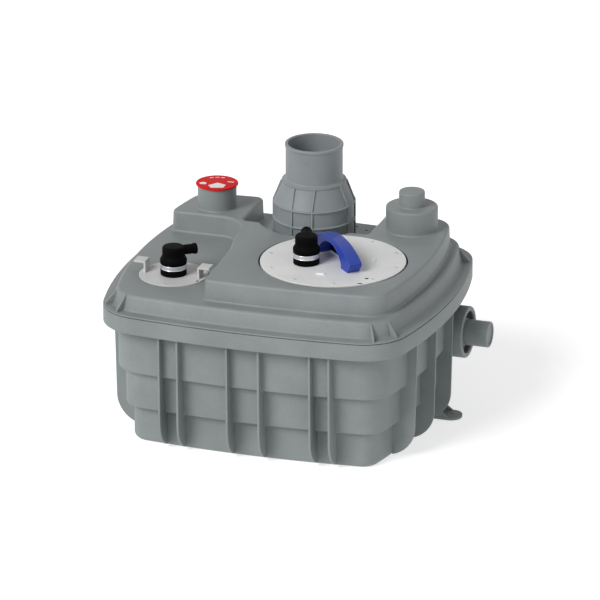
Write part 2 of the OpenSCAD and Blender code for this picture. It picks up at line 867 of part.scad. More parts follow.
module inlet_tower() {
    z1 = tower_z + tower_body_h;
    z2 = z1 + tower_cone_h;
    neck_r = inlet_r + 2 * tower_rib;
    color(plastic)
        translate([0, spigot_y, 0]) {
            difference() {
                union() {
                    translate([0, 0, tower_z])
                        cylinder(r = tower_r + tower_rib, h = wall);
                    translate([0, 0, tower_z])
                        cylinder(r = tower_r, h = tower_body_h);
                    translate([0, 0, z1])
                        cylinder(r1 = tower_r, r2 = neck_r, h = tower_cone_h);
                    translate([0, 0, z2 - tower_rib])
                        cylinder(r = inlet_r, h = tower_spigot_h + tower_rib);
                    for (z = [tower_z + tower_body_h * hoop_share, z1 - tower_rib / 2])
                        translate([0, 0, z])
                            cylinder(r = tower_r + tower_rib, h = tower_rib);
                    translate([0, 0, z2 - tower_rib])
                        cylinder(r = neck_r + tower_rib / 2, h = tower_rib);
                    for (q = [0:3])
                        for (side = [-1, 1])
                            rotate(q * 90 + side * tower_rib_angle)
                                tower_fin(z1, z2, neck_r);
                }
                translate([0, 0, tower_z - eps])
                    cylinder(r = tower_r - inlet_wall, h = tower_body_h + eps);
                translate([0, 0, z1])
                    cylinder(r1 = tower_r - inlet_wall, r2 = inlet_r - inlet_wall, h = tower_cone_h);
                translate([0, 0, z2 - eps])
                    cylinder(r = inlet_r - inlet_wall, h = tower_spigot_h + 2 * eps);
            }
        }
}

// Upright rib that follows the tower's body and cone
module tower_fin(z1, z2, neck_r) {
    inner = 2;
    translate([0, tower_rib_t / 2, 0])
        rotate([90, 0, 0])
            linear_extrude(tower_rib_t)
                polygon([[tower_r - inner, tower_z + wall / 2], [tower_r + tower_rib, tower_z + wall / 2],
                    [tower_r + tower_rib, z1 + 1], [neck_r + tower_rib, z2], [neck_r - inner, z2],
                    [tower_r - inner, z1]]);
}

module inlet_tower_seal() {
    color(black)
        translate([0, spigot_y, deck_a_z])
            tube_z(tower_r + tower_rib + 1, tower_r - 2 * wall, tower_seal_t);
}

module vent_cap() {
    bore = vent_r - spigot_wall;
    color(red)
        translate([-side_spigot_x, spigot_y, deck_b_z + vent_h]) {
            cylinder(r = vent_r + cap_over, h = cap_t);
            translate([0, 0, -cap_ring_h])
                tube_z(bore - loose_fit, bore - wall, cap_ring_h + cap_t / 2);
        }
}

seal_sink = 1;

module motor_cover_seal() {
    color(black)
        translate([pump_x, pump_y, seat_z])
            difference() {
                cylinder(r = cover_recess_r, h = deck_b_z - seat_z - seal_sink);
                translate([0, 0, seal_t])
                    cylinder(r = cover_r + loose_fit, h = deck_b_h);
                translate([0, 0, -eps])
                    cylinder(r = opening_r, h = deck_b_h);
                ring_of(cover_screws, cover_screw_ring)
                    translate([0, 0, -eps])
                        cylinder(r = cover_screw_r + loose_fit, h = deck_b_h);
            }
}

gland_r = 8;
motor_boot_pos = [pump_x + motor_boot_dx, pump_y + motor_boot_dy];
handle_foot_d = (handle_l + handle_gap_l) / 4;
handle_screw_r = 2.5;
handle_cut_l = 10;
handle_cut_h = 14;
handle_screw_end = 1;
handle_head_h = 3;
fixing_screw_r = 2.5;
fixing_head_r = 3.3;
fixing_head_h = 3;
fixing_sink = 1;
fixing_angles = [-90, 18, 172];
flange_edge = 7;
flange_r = fixing_ring + flange_edge;
can_bore = can_r - can_wall;
cover_ring_r = opening_r - 2;

module fixing_places() {
    for (a = fixing_angles)
        translate(pump_pos)
            rotate(a)
                translate([fixing_ring, 0, 0])
                    children();
}

module handle_places() {
    for (side = [-1, 1])
        translate([handle_x, handle_y, 0])
            rotate(handle_turn)
                translate([side * handle_foot_d, 0, 0])
                    children();
}

module motor_cover() {
    color(white)
        difference() {
            union() {
                translate([pump_x, pump_y, cover_bottom])
                    cylinder(r = cover_r, h = cover_t);
                translate([pump_x, pump_y, cover_bottom - seat_t])
                    tube_z(cover_ring_r, cover_ring_r - wall, seat_t + eps);
            }
            translate(pump_pos)
                ring_of(cover_screws, cover_screw_ring)
                    translate([0, 0, cover_bottom - eps])
                        cylinder(r = cover_screw_r + fixed_fit, h = cover_t + 2 * eps);
            fixing_places() {
                translate([0, 0, cover_bottom - eps])
                    cylinder(r = fixing_screw_r + fixed_fit, h = cover_t + 2 * eps);
                translate([0, 0, cover_top - fixing_head_h - fixing_sink])
                    cylinder(r = fixing_head_r + fixed_fit, h = cover_t);
            }
            handle_places() {
                translate([0, 0, cover_bottom - eps])
                    cylinder(r = handle_screw_r + fixed_fit, h = cover_t + 2 * eps);
                translate([0, 0, cover_bottom - eps])
                    cylinder(r = fixing_head_r + fixed_fit, h = handle_head_h + eps);
            }
            translate([motor_boot_pos[0], motor_boot_pos[1], cover_bottom - eps])
                cylinder(r = gland_r, h = cover_t + 2 * eps);
        }
}

module motor_cover_screws() {
    color(steel)
        translate(pump_pos)
            ring_of(cover_screws, cover_screw_ring)
                translate([0, 0, cover_top])
                    screw(cover_head_r, head_h, cover_screw_r, cover_t + seal_t + seat_t);
}

module motor_fixing_screws() {
    color(steel)
        fixing_places()
            translate([0, 0, cover_top - fixing_head_h - fixing_sink])
                screw(fixing_head_r, fixing_head_h, fixing_screw_r,
                    cover_t - fixing_head_h - fixing_sink + seat_t);
}

module motor_fixing_caps() {
    color(white)
        fixing_places()
            translate([0, 0, cover_top])
                rotate(90) {
                    half = (fixing_cap_l - fixing_cap_w) / 2;
                    for (side = [-1, 1])
                        translate([side * half, 0, 0])
                            cylinder(r = fixing_cap_w / 2, h = fixing_cap_h);
                    translate([-half, -fixing_cap_w / 2, 0])
                        cube([2 * half, fixing_cap_w, fixing_cap_h]);
                }
}

// Radius of an arc over a chord, from its half length and its rise
function arch_r(half, rise) = (half * half + rise * rise) / (2 * rise);

// Side view of the arched handle, with its feet at height 0
function handle_outline() = let (half_out = handle_l / 2, half_in = handle_gap_l / 2,
    ro = arch_r(half_out, handle_h - handle_end_h), ri = arch_r(half_in, handle_gap_h - handle_foot_h),
    to = asin(half_out / ro), ti = asin(half_in / ri))
    concat([[half_in, 0], [half_out - handle_cut_l, 0], [half_out, handle_cut_h]],
        arc([0, handle_h - ro], ro, 90 - to, 90 + to, 20),
        [[-half_out, handle_cut_h], [-half_out + handle_cut_l, 0], [-half_in, 0]],
        arc([0, handle_gap_h - ri], ri, 90 + ti, 90 - ti, 16));

module lift_handle() {
    color(blue)
        difference() {
            translate([handle_x, handle_y, cover_top])
                rotate(handle_turn)
                    translate([0, handle_w / 2, 0])
                        rotate([90, 0, 0])
                            linear_extrude(handle_w)
                                polygon(handle_outline());
            handle_places()
                translate([0, 0, cover_top - eps])
                    cylinder(r = handle_screw_r + fixed_fit, h = handle_foot_h + eps);
        }
}

module handle_screws() {
    color(steel)
        handle_places()
            translate([0, 0, cover_bottom + handle_head_h])
                mirror([0, 0, 1])
                    screw(fixing_head_r, handle_head_h, handle_screw_r,
                        cover_t - handle_head_h + handle_foot_h - handle_screw_end);
}

band_z = boot_foot_h;
bulge_l = 9;
bulge_over = 0.5;
shoulder_l = 7;
crown_r = 5;
nozzle_rim = 1;
nozzle_rim_l = 6;
clamp_turn = 20;
boot_bulge_z = band_z + clamp_w + bulge_l;
nozzle_z = boot_h - nozzle_r - nozzle_rim;
bulge_r = boot_r + bulge_over;
groove_r = bulge_r - clamp_t;

// A rubber boot with a groove for its clamp, a bulge over it and a nozzle to the side
module boot(turn) {
    color(black)
        difference() {
            union() {
                rotate_extrude()
                    polygon(concat([[0, 0], [boot_r, 0], [boot_r, band_z], [groove_r, band_z],
                        [groove_r, band_z + clamp_w], [bulge_r, band_z + clamp_w],
                        [bulge_r, boot_bulge_z], [boot_top_r, boot_bulge_z + shoulder_l]],
                        arc([boot_top_r - crown_r, boot_h - crown_r], crown_r, 0, 90, 5), [[0, boot_h]]));
                rotate(turn)
                    translate([boot_top_r / 2, 0, nozzle_z])
                        rotate([0, 90, 0]) {
                            cylinder(r = nozzle_r, h = nozzle_reach - boot_top_r / 2);
                            translate([0, 0, nozzle_reach - boot_top_r / 2 - nozzle_rim_l])
                                cylinder(r = nozzle_r + nozzle_rim, h = nozzle_rim_l);
                        }
            }
            translate([0, 0, -eps])
                cylinder(r = boot_top_r - boot_wall, h = boot_h - boot_wall + eps);
            rotate(turn)
                translate([0, 0, nozzle_z])
                    rotate([0, 90, 0])
                        cylinder(r = nozzle_bore_r, h = nozzle_reach + eps);
        }
}

module boot_band() {
    color(steel)
        translate([0, 0, band_z + fixed_fit])
            tube_z(groove_r + clamp_t, groove_r + fixed_fit, clamp_w - 2 * fixed_fit);
}

worm_l = 10;
worm_h = 5;
worm_edge = 0.5;
worm_bite = 0.2;
worm_screw_r = 2.5;
worm_screw_l = 16;
worm_screw_back = 9;
worm_screw_up = 3;

// Worm housing and its slotted screw, standing on a band of the given radius
module band_worm(r, w) {
    color(steel) {
        translate([-worm_l / 2, r - worm_bite, -w / 2 + worm_edge])
            cube([worm_l, worm_h, w - 2 * worm_edge]);
        translate([-worm_screw_back, r + worm_screw_up, 0])
            rotate([0, 90, 0])
                cylinder(r = worm_screw_r, h = worm_screw_l);
    }
}

module at_motor_boot() {
    translate([motor_boot_pos[0], motor_boot_pos[1], cover_top])
        children();
}

module at_hatch_boot() {
    translate([hatch_x, hatch_y, hatch_top])
        children();
}

module motor_boot() at_motor_boot() boot(motor_nozzle_turn);
module motor_boot_clamp() at_motor_boot() boot_band();
module motor_clamp_screw() {
    at_motor_boot()
        rotate(clamp_turn)
            translate([0, 0, band_z + clamp_w / 2])
                band_worm(bulge_r + fixed_fit + worm_bite, clamp_w);
}

module hatch_boot() at_hatch_boot() boot(hatch_nozzle_turn);
module hatch_boot_clamp() at_hatch_boot() boot_band();
module hatch_clamp_screw() {
    at_hatch_boot()
        rotate(clamp_turn)
            translate([0, 0, band_z + clamp_w / 2])
                band_worm(bulge_r + fixed_fit + worm_bite, clamp_w);
}

hatch_screw_angles = [-90, -24, 90, 156];
hatch_screw_ring = 58;
hatch_screw_r = 2;
hatch_head_r = 3;
hatch_seal_in = 1;

module hatch_screw_places() {
    for (a = hatch_screw_angles)
        translate(hatch_pos)
            rotate(a)
                translate([hatch_screw_ring, 0, 0])
                    children();
}

module hatch_seal() {
    color(black)
        difference() {
            translate([hatch_x, hatch_y, hatch_seat_z])
                tube_z(hatch_r - hatch_seal_in, hatch_opening_r, seal_t);
            hatch_screw_places()
                translate([0, 0, hatch_seat_z - eps])
                    cylinder(r = hatch_screw_r + loose_fit, h = seal_t + 2 * eps);
        }
}

module hatch_cover() {
    color(white)
        difference() {
            translate([hatch_x, hatch_y, hatch_bottom])
                cylinder(r = hatch_r, h = hatch_t);
            hatch_screw_places()
                translate([0, 0, hatch_bottom - eps])
                    cylinder(r = hatch_screw_r + fixed_fit, h = hatch_t + 2 * eps);
            translate([hatch_x, hatch_y, hatch_bottom - eps])
                cylinder(r = gland_r, h = hatch_t + 2 * eps);
        }
}

module hatch_grips() {
    color(white)
        for (m = [0, 1])
            translate([hatch_x, hatch_y, hatch_top])
                mirror([m, 0, 0])
                    translate([grip_web_x - grip_t / 2, -grip_w / 2, 0]) {
                        cube([grip_t, grip_w, grip_h]);
                        translate([0, 0, grip_h - grip_t])
                            cube([grip_reach, grip_w, grip_t]);
                    }
}

module hatch_screws() {
    color(steel)
        hatch_screw_places()
            translate([0, 0, hatch_top])
                screw(hatch_head_r, head_h, hatch_screw_r, hatch_t + seal_t + seat_t);
}

module level_switch() {
    color(plastic)
        translate([hatch_x, hatch_y, hatch_bottom - switch_h])
            cylinder(r = switch_r, h = switch_h);
}

dip_off = 12;
alarm_off = 22;

module dip_tube() {
    z0 = floor_t + dip_gap;
    color(white)
        translate([hatch_x - dip_off, hatch_y, z0])
            tube_z(dip_r, dip_r - dip_wall, hatch_bottom - switch_h - z0);
}

module alarm_tube() {
    color(white)
        translate([hatch_x + alarm_off, hatch_y, hatch_bottom - switch_h - alarm_l])
            tube_z(alarm_r, alarm_r - dip_wall, alarm_l);
}

shaft_room = 4;

module motor_can() {
    pocket_z = bearing_low_z;
    color(iron)
        translate(pump_pos)
            difference() {
                union() {
                    translate([0, 0, can_z])
                        cylinder(r = can_r, h = cover_bottom - can_z);
                    translate([0, 0, cover_bottom - seat_t])
                        cylinder(r = flange_r, h = seat_t);
                }
                translate([0, 0, can_z + can_floor_t])
                    cylinder(r = can_bore, h = cover_bottom);
                translate([0, 0, pocket_z])
                    cylinder(r = bearing_r + fixed_fit, h = can_floor_t);
                translate([0, 0, can_z - eps])
                    cylinder(r = shaft_r + shaft_room, h = can_floor_t);
                for (a = fixing_angles)
                    rotate(a)
                        translate([fixing_ring, 0, cover_bottom - seat_t - eps])
                            cylinder(r = fixing_screw_r + fixed_fit, h = seat_t + 2 * eps);
            }
}

stator_bore = rotor_r + air_gap;
winding_gap = 4;
bracket_lip = 2;

module stator_core() {
    color(steel)
        translate([pump_x, pump_y, core_z])
            tube_z(can_bore - fixed_fit, stator_bore, core_l);
}

module stator_windings() {
    color(copper)
        for (z = [core_z - winding_l, core_z + core_l])
            translate([pump_x, pump_y, z])
                tube_z(can_bore - wall, stator_bore + winding_gap, winding_l);
}

module bearing_bracket() {
    color(iron)
        translate([pump_x, pump_y, bracket_z])
            difference() {
                cylinder(r = can_bore - fixed_fit, h = bearing_w + bracket_lip);
                translate([0, 0, -eps])
                    cylinder(r = bearing_r + fixed_fit, h = bearing_w + eps);
                cylinder(r = shaft_r + shaft_room, h = bearing_w + bracket_lip + eps);
            }
}

module bearing(z) {
    color(steel)
        translate([pump_x, pump_y, z])
            tube_z(bearing_r, shaft_r + run_fit, bearing_w);
}

module upper_bearing() bearing(bracket_z);
module lower_bearing() bearing(bearing_low_z);

capacitor_dx = 25;
capacitor_dy = 28;
capacitor_room = 10;

module capacitor() {
    z0 = bracket_z + bearing_w + bracket_lip;
    color(black)
        translate([pump_x + capacitor_dx, pump_y + capacitor_dy, z0])
            cylinder(r = capacitor_r, h = cover_bottom - z0 - capacitor_room);
}

chamber_r = 70;
seal_r = 18;
seal_l = 18;

module seal_chamber() {
    color(iron)
        translate([pump_x, pump_y, casing_top])
            tube_z(chamber_r, chamber_r - casing_wall, can_z - casing_top);
}

module shaft_seal() {
    color(black)
        translate([pump_x, pump_y, casing_top - casing_wall])
            tube_z(seal_r, shaft_r + run_fit, seal_l);
}

casing_screw_n = 6;
casing_screw_r = 2.5;
casing_screw_l = 14;
casing_screw_turn = 15;
casing_screw_ring = casing_r - casing_wall / 2;
casing_head_r = 4;
casing_head_h = 3;
coupling_rim = 5;
coupling_face_r = coupling_r - coupling_rim;

// Casing open below, with a tangential outlet towards the rear
module pump_casing() {
    port_r = pipe_r - pipe_wall;
    color(iron)
        difference() {
            union() {
                translate([pump_x, pump_y, casing_z])
                    cylinder(r = casing_r, h = casing_h);
                translate([outlet_x, pump_y, coupling_z])
                    tube_y(pipe_r - 1, port_r, casing_r / 2, coupling_d);
                coupling_face(pump_y + coupling_d - coupling_t, coupling_t);
            }
            translate([pump_x, pump_y, casing_z - eps])
                cylinder(r = casing_r - casing_wall, h = casing_h - casing_wall + eps);
            translate([outlet_x, pump_y, coupling_z])
                rotate([-90, 0, 0])
                    cylinder(r = port_r, h = coupling_d + eps);
            translate([pump_x, pump_y, casing_top - 2 * casing_wall])
                cylinder(r = seal_r + fixed_fit, h = 3 * casing_wall);
            translate([pump_x, pump_y, casing_z - eps])
                ring_of(casing_screw_n, casing_screw_ring, casing_screw_turn)
                    cylinder(r = casing_screw_r + fixed_fit, h = casing_screw_l + 2 * eps);
        }
}

// Round coupling flange on the outlet's axis, its face square to Y
module coupling_face(y, t) {
    translate([outlet_x, y, coupling_z])
        rotate([-90, 0, 0])
            cylinder(r = coupling_face_r, h = t);
}

module casing_screws() {
    color(steel)
        translate([pump_x, pump_y, plate_z])
            ring_of(casing_screw_n, casing_screw_ring, casing_screw_turn)
                mirror([0, 0, 1])
                    screw(casing_head_r, casing_head_h, casing_screw_r, plate_t + casing_screw_l);
}

notch_r = 4;

module cutting_plate() {
    color(steel)
        translate([pump_x, pump_y, plate_z])
            difference() {
                cylinder(r = casing_r, h = plate_t);
                translate([0, 0, -eps])
                    cylinder(r = mouth_r, h = plate_t + 2 * eps);
                ring_of(notches, mouth_r)
                    translate([0, 0, -eps])
                        cylinder(r = notch_r, h = plate_t + 2 * eps);
                ring_of(casing_screw_n, casing_screw_ring, casing_screw_turn)
                    translate([0, 0, -eps])
                        cylinder(r = casing_screw_r + fixed_fit, h = plate_t + 2 * eps);
            }
}

strainer_r = 66;
strainer_wall = 4;
foot_gap = 0.4;
window_edge = 7;
window_reach = 10;

module pump_strainer() {
    z0 = floor_t + foot_gap;
    color(iron)
        translate([pump_x, pump_y, z0])
            difference() {
                tube_z(strainer_r, strainer_r - strainer_wall, plate_z - z0);
                ring_of(strainer_windows, strainer_r)
                    translate([-window_reach, -strainer_window_w / 2, window_edge])
                        cube([2 * window_reach, strainer_window_w, plate_z - z0 - 2 * window_edge]);
            }
}

screw_bore_h = 15;
knife_screw_r = 3;

module pump_shaft() {
    color(steel)
        translate([pump_x, pump_y, 0])
            difference() {
                translate([0, 0, knife_z + knife_t])
                    cylinder(r = shaft_r, h = shaft_top - knife_z - knife_t);
                translate([0, 0, knife_z])
                    cylinder(r = knife_screw_r + fixed_fit, h = knife_t + screw_bore_h + 2 * eps);
            }
}

module rotor_core() {
    color(steel)
        translate([pump_x, pump_y, core_z])
            tube_z(rotor_r, shaft_r + fixed_fit, core_l);
}

module impeller() {
    low_gap = 8;
    top_gap = 10;
    hub_reach = 2;
    vane_bite = 3;
    z0 = casing_z + low_gap;
    z1 = casing_top - casing_wall - top_gap;
    hub_r = 2 * shaft_r;
    disc_t = 6;
    color(iron)
        translate([pump_x, pump_y, 0])
            difference() {
                union() {
                    translate([0, 0, z0 - hub_reach])
                        cylinder(r = hub_r, h = z1 - z0 + disc_t + hub_reach);
                    translate([0, 0, z1])
                        cylinder(r = impeller_r, h = disc_t);
                    ring_of(impeller_vanes, hub_r - vane_bite)
                        translate([0, -vane_t / 2, z0])
                            cube([impeller_r - hub_r - 1, vane_t, z1 - z0 + disc_t / 2]);
                }
                translate([0, 0, z0 - hub_reach - eps])
                    cylinder(r = shaft_r + fixed_fit, h = casing_h);
            }
}

module cutter_knife() {
    blade_w = 14;
    hub_r = 14;
    color(steel)
        translate([pump_x, pump_y, knife_z])
            difference() {
                union() {
                    cylinder(r = hub_r, h = knife_t);
                    translate([-knife_r, -blade_w / 2, 0])
                        cube([2 * knife_r, blade_w, knife_t]);
                }
                translate([0, 0, -eps])
                    cylinder(r = knife_screw_r + fixed_fit, h = knife_t + 2 * eps);
            }
}

knife_head_r = 8;

module knife_screw() {
    color(steel)
        translate([pump_x, pump_y, knife_z])
            mirror([0, 0, 1])
                screw(knife_head_r, knife_screw_h, knife_screw_r, knife_t + screw_bore_h);
}

gasket_t = 2;
socket_l = 4;
pipe_y0 = coupling_y + loose_fit;
pipe_end_y = valve_y + socket_l;

// Quarter bend in the plane across X, from angle a to a + 90
module bend(r, y, z, a) {
    translate([outlet_x, y, z])
        rotate([90, 0, 90])
            rotate(a)
                rotate_extrude(angle = 90)
                    translate([bend_r, 0])
                        circle(r = r);
}

module pipe_run(r, over) {
    translate([outlet_x, pipe_y0 + gasket_t - over, coupling_z])
        rotate([-90, 0, 0])
            cylinder(r = r, h = riser_y - bend_r - pipe_y0 - gasket_t + over);
    bend(r, riser_y - bend_r, coupling_z + bend_r, -90);
    translate([outlet_x, riser_y, coupling_z + bend_r])
        cylinder(r = r, h = outlet_z - coupling_z - 2 * bend_r);
    bend(r, riser_y + bend_r, outlet_z - bend_r, 90);
    translate([outlet_x, riser_y + bend_r, outlet_z])
        rotate([-90, 0, 0])
            cylinder(r = r, h = pipe_end_y - riser_y - bend_r + over);
}

module discharge_pipe() {
    color(plastic)
        difference() {
            union() {
                pipe_run(pipe_r, 0);
                coupling_face(pipe_y0 + gasket_t, coupling_t);
            }
            pipe_run(pipe_r - pipe_wall, eps);
        }
}

module coupling_gasket() {
    color(black)
        translate([outlet_x, 0, coupling_z])
            tube_y(coupling_face_r, pipe_r - pipe_wall, pipe_y0, pipe_y0 + gasket_t);
}

module outlet_grommet() {
    y0 = outlet_wall_y - wall - pad_t;
    y1 = outlet_wall_y + pad_t;
    lip = 2.5;
    color(black)
        translate([outlet_x, 0, outlet_z]) {
            tube_y(grommet_r - fixed_fit, pipe_r + fixed_fit, y0 - lip, y1 + lip);
            tube_y(grommet_r + lip, pipe_r + fixed_fit, y0 - lip, y0);
            tube_y(grommet_r + lip, pipe_r + fixed_fit, y1, y1 + lip);
        }
}

flap_room = 4;
valve_in_w = valve_w - 2 * valve_wall;
valve_top_z = outlet_z + valve_h_up;
valve_low_z = outlet_z - flap_r - flap_room - valve_wall;
valve_ear = 8;
valve_lid_t = 6;
valve_screw_r = 2;
valve_screw_in = 12;
valve_head_r = 4;
valve_head_h = 3;
port_r = pipe_r - pipe_wall;

module valve_screw_places() {
    for (side = [-1, 1])
        for (y = [valve_y + valve_screw_in, valve_end_y - valve_screw_in])
            translate([outlet_x + side * (valve_w + valve_ear) / 2, y, valve_top_z])
                children();
}

module check_valve_body() {
    color(plastic)
        difference() {
            union() {
                translate([outlet_x - valve_w / 2, valve_y, valve_low_z])
                    cube([valve_w, valve_l, valve_top_z - valve_low_z]);
                translate([outlet_x - valve_w / 2 - valve_ear, valve_y, valve_top_z - valve_lid_t])
                    cube([valve_w + 2 * valve_ear, valve_l, valve_lid_t]);
                translate([outlet_x, 0, outlet_z])
                    tube_y(pipe_r + valve_wall, pipe_r - 1, valve_y - socket_l, valve_y + eps);
                translate([outlet_x, 0, outlet_z])
                    tube_y(pipe_r, port_r, valve_end_y - eps, valve_end_y + sleeve_grip + sleeve_gap);
            }
            translate([outlet_x - valve_in_w / 2, seat_face_y, valve_low_z + valve_wall])
                cube([valve_in_w, valve_end_y - valve_wall - seat_face_y, valve_top_z]);
            translate([outlet_x, valve_y - valve_wall, outlet_z])
                rotate([-90, 0, 0])
                    cylinder(r = pipe_r + fixed_fit, h = pipe_end_y - valve_y + valve_wall);
            translate([outlet_x, valve_y, outlet_z])
                rotate([-90, 0, 0])
                    cylinder(r = port_r, h = valve_l + sleeve_grip);
            translate([outlet_x - valve_in_w / 2 - pin_bite, pin_y, pin_z])
                rotate([0, 90, 0])
                    cylinder(r = pin_r + fixed_fit, h = valve_in_w + 2 * pin_bite);
            valve_screw_places()
                translate([0, 0, -valve_lid_t - eps])
                    cylinder(r = valve_screw_r + fixed_fit, h = valve_lid_t + 2 * eps);
        }
}

pin_bite = 3;

module check_valve_cover() {
    color(plastic)
        difference() {
            translate([outlet_x - valve_w / 2 - valve_ear, valve_y, valve_top_z])
                cube([valve_w + 2 * valve_ear, valve_l, valve_lid_t]);
            valve_screw_places()
                translate([0, 0, -eps])
                    cylinder(r = valve_screw_r + fixed_fit, h = valve_lid_t + 2 * eps);
        }
}

module valve_cover_screws() {
    color(steel)
        valve_screw_places()
            translate([0, 0, valve_lid_t])
                screw(valve_head_r, valve_head_h, valve_screw_r, 2 * valve_lid_t);
}

barrel_wall = 3;
barrel_r = pin_r + barrel_wall;
barrel_w = 14;

module valve_flap() {
    color(black)
        difference() {
            union() {
                translate([outlet_x, seat_face_y + run_fit, outlet_z])
                    rotate([-90, 0, 0])
                        cylinder(r = flap_r, h = flap_t);
                translate([outlet_x - barrel_w / 2, seat_face_y + run_fit, outlet_z])
                    cube([barrel_w, flap_t, pin_up]);
                translate([outlet_x - barrel_w / 2, pin_y, pin_z])
                    rotate([0, 90, 0])
                        cylinder(r = barrel_r, h = barrel_w);
            }
            translate([outlet_x - barrel_w / 2 - eps, pin_y, pin_z])
                rotate([0, 90, 0])
                    cylinder(r = pin_r + run_fit, h = barrel_w + 2 * eps);
        }
}

module flap_pin() {
    color(steel)
        translate([outlet_x - valve_in_w / 2 - pin_bite, pin_y, pin_z])
            rotate([0, 90, 0])
                cylinder(r = pin_r, h = valve_in_w + 2 * pin_bite);
}

module outlet_sleeve() {
    stop_y = sleeve_y + sleeve_grip;
    stop_t = 2;
    color(black)
        translate([outlet_x, 0, outlet_z]) {
            tube_y(pipe_r + sleeve_wall, pipe_r + fixed_fit, sleeve_y, sleeve_y + sleeve_l);
            tube_y(pipe_r + sleeve_wall, port_r, stop_y, stop_y + stop_t);
        }
}

module sleeve_band_places() {
    for (y = [sleeve_y + sleeve_grip / 2, sleeve_y + sleeve_l - sleeve_grip / 2])
        translate([outlet_x, y, outlet_z])
            children();
}

module sleeve_clamps() {
    color(steel)
        sleeve_band_places()
            tube_y(pipe_r + sleeve_wall + clamp_t, pipe_r + sleeve_wall + fixed_fit, -clamp_w / 2,
                clamp_w / 2);
}

module sleeve_clamp_screws() {
    sleeve_band_places()
        rotate([90, 0, 0])
            band_worm(pipe_r + sleeve_wall + clamp_t + worm_bite, clamp_w);
}

tank_base();
tank_middle();
tank_top();
tank_fins();
side_inlet();
fixing_lugs();
lid_lower_deck();
lid_upper_deck();
vent_pipe();
plug_pipe();
inlet_tower();
inlet_tower_seal();
vent_cap();
motor_cover_seal();
motor_cover();
motor_cover_screws();
motor_fixing_caps();
motor_fixing_screws();
lift_handle();
handle_screws();
motor_boot();
motor_boot_clamp();
motor_clamp_screw();
hatch_seal();
hatch_cover();
hatch_grips();
hatch_screws();
hatch_boot();
hatch_boot_clamp();
hatch_clamp_screw();
level_switch();
dip_tube();
alarm_tube();
motor_can();
stator_core();
stator_windings();
capacitor();
bearing_bracket();
upper_bearing();
lower_bearing();
seal_chamber();
shaft_seal();
pump_casing();
casing_screws();
cutting_plate();
pump_strainer();
pump_shaft();
rotor_core();
impeller();
cutter_knife();
knife_screw();
discharge_pipe();
coupling_gasket();
outlet_grommet();
check_valve_body();
check_valve_cover();
valve_cover_screws();
valve_flap();
flap_pin();
outlet_sleeve();
sleeve_clamps();
sleeve_clamp_screws();
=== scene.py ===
"""Looks of a sewage lifting station: a ribbed grey tank, a two-step lid, white service covers,
black cable boots, a blue lifting handle, and the pump, valve and pipe work behind and inside."""
import json
import math

import bmesh
import bpy
from mathutils import Matrix, Vector


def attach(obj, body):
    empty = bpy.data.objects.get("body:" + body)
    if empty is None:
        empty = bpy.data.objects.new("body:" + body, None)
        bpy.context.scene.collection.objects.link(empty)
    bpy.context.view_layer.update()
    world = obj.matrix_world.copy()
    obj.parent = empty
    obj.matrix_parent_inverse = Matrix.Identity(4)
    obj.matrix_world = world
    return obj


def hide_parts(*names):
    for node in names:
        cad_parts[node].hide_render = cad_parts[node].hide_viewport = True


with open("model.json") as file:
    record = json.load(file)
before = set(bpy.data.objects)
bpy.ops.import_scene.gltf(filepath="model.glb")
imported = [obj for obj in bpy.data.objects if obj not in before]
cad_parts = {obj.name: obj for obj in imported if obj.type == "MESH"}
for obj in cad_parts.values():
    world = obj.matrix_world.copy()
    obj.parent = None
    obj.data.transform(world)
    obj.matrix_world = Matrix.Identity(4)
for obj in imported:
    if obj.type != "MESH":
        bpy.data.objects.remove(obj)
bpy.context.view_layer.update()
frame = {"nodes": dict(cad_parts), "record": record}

# All lengths below are millimetres and become metres when a mesh is made
MM = 0.001
TURN_STEPS = 128
HOLE_STEPS = 32

# Rim: half length, half width, radii of its bowed sides and of its corners
HALF_L = 325.0
HALF_W = 295.5
BOW_FRONT = 2000.0
BOW_SIDE = 950.0
CORNER = 92.0
RIM = (HALF_L, -HALF_W, HALF_W, BOW_FRONT, BOW_SIDE, CORNER)

# Tank: each course has its inset from the rim and the height of its top
COURSES = ((58.0, 74.0), (43.0, 149.0), (29.0, 267.0))
RIM_Z = 272.0
SKIRT_Z = 239.0
SKIRT_T = 4.0
WALL = 5.0
FLOOR_T = 6.0
FLOOR_EDGE = 84.0

# Fins: distances of the pairs from the middle, and insets of a fin's edge from the rim
FIN_T = 4.5
FRONT_FINS = (31.5, 131.5, 169.0)
SIDE_FINS = (53.0, 144.0)
FIN_TOP_INSET = 10.0
FIN_LOW_INSET = 15.0
FIN_FOOT = 60.0
FIN_BITE = 2.0

# Fixing lugs
LUG_Y = 84.0
LUG_W = 44.0
LUG_T = 6.0
LUG_REACH = 36.0
LUG_HOLE = 5.0
LUG_GUSSET = 26.0

# Side inlet: a collar with a thick lip and the closed stub inside it, placed along X
SIDE_Y = 108.0
SIDE_Z = 168.0
COLLAR_R = 50.0
COLLAR_BORE = 44.0
COLLAR_MOUTH = 40.5
COLLAR_END = 326.5
COLLAR_DEEP = 262.0
LIP_L = 6.0
LIP_FOOT_L = 9.0
WEB_X = 294.8
STUB_R = 25.0
STUB_END = 369.0
STUB_DISH = 3.0
STUB_FACE_R = 19.0
STUB_RIM_R = 20.5
STUB_ROOT_R = 27.0
STUB_ROOT_END = 321.5

# Discharge outlet in the rear wall: its place along X and Z, and the boss round its grommet
OUTLET = (83.0, 186.0)
PAD_R = 32.0
PAD_T = 3.0
PAD_ROOT = 10.0
GROMMET_R = 29.0

# Seam between the tank and the lid
SEAM_INSET = 34.0
SEAM_DEPTH = 3.0
SEAM_BELOW = 0.7
SEAM_ABOVE = 1.0

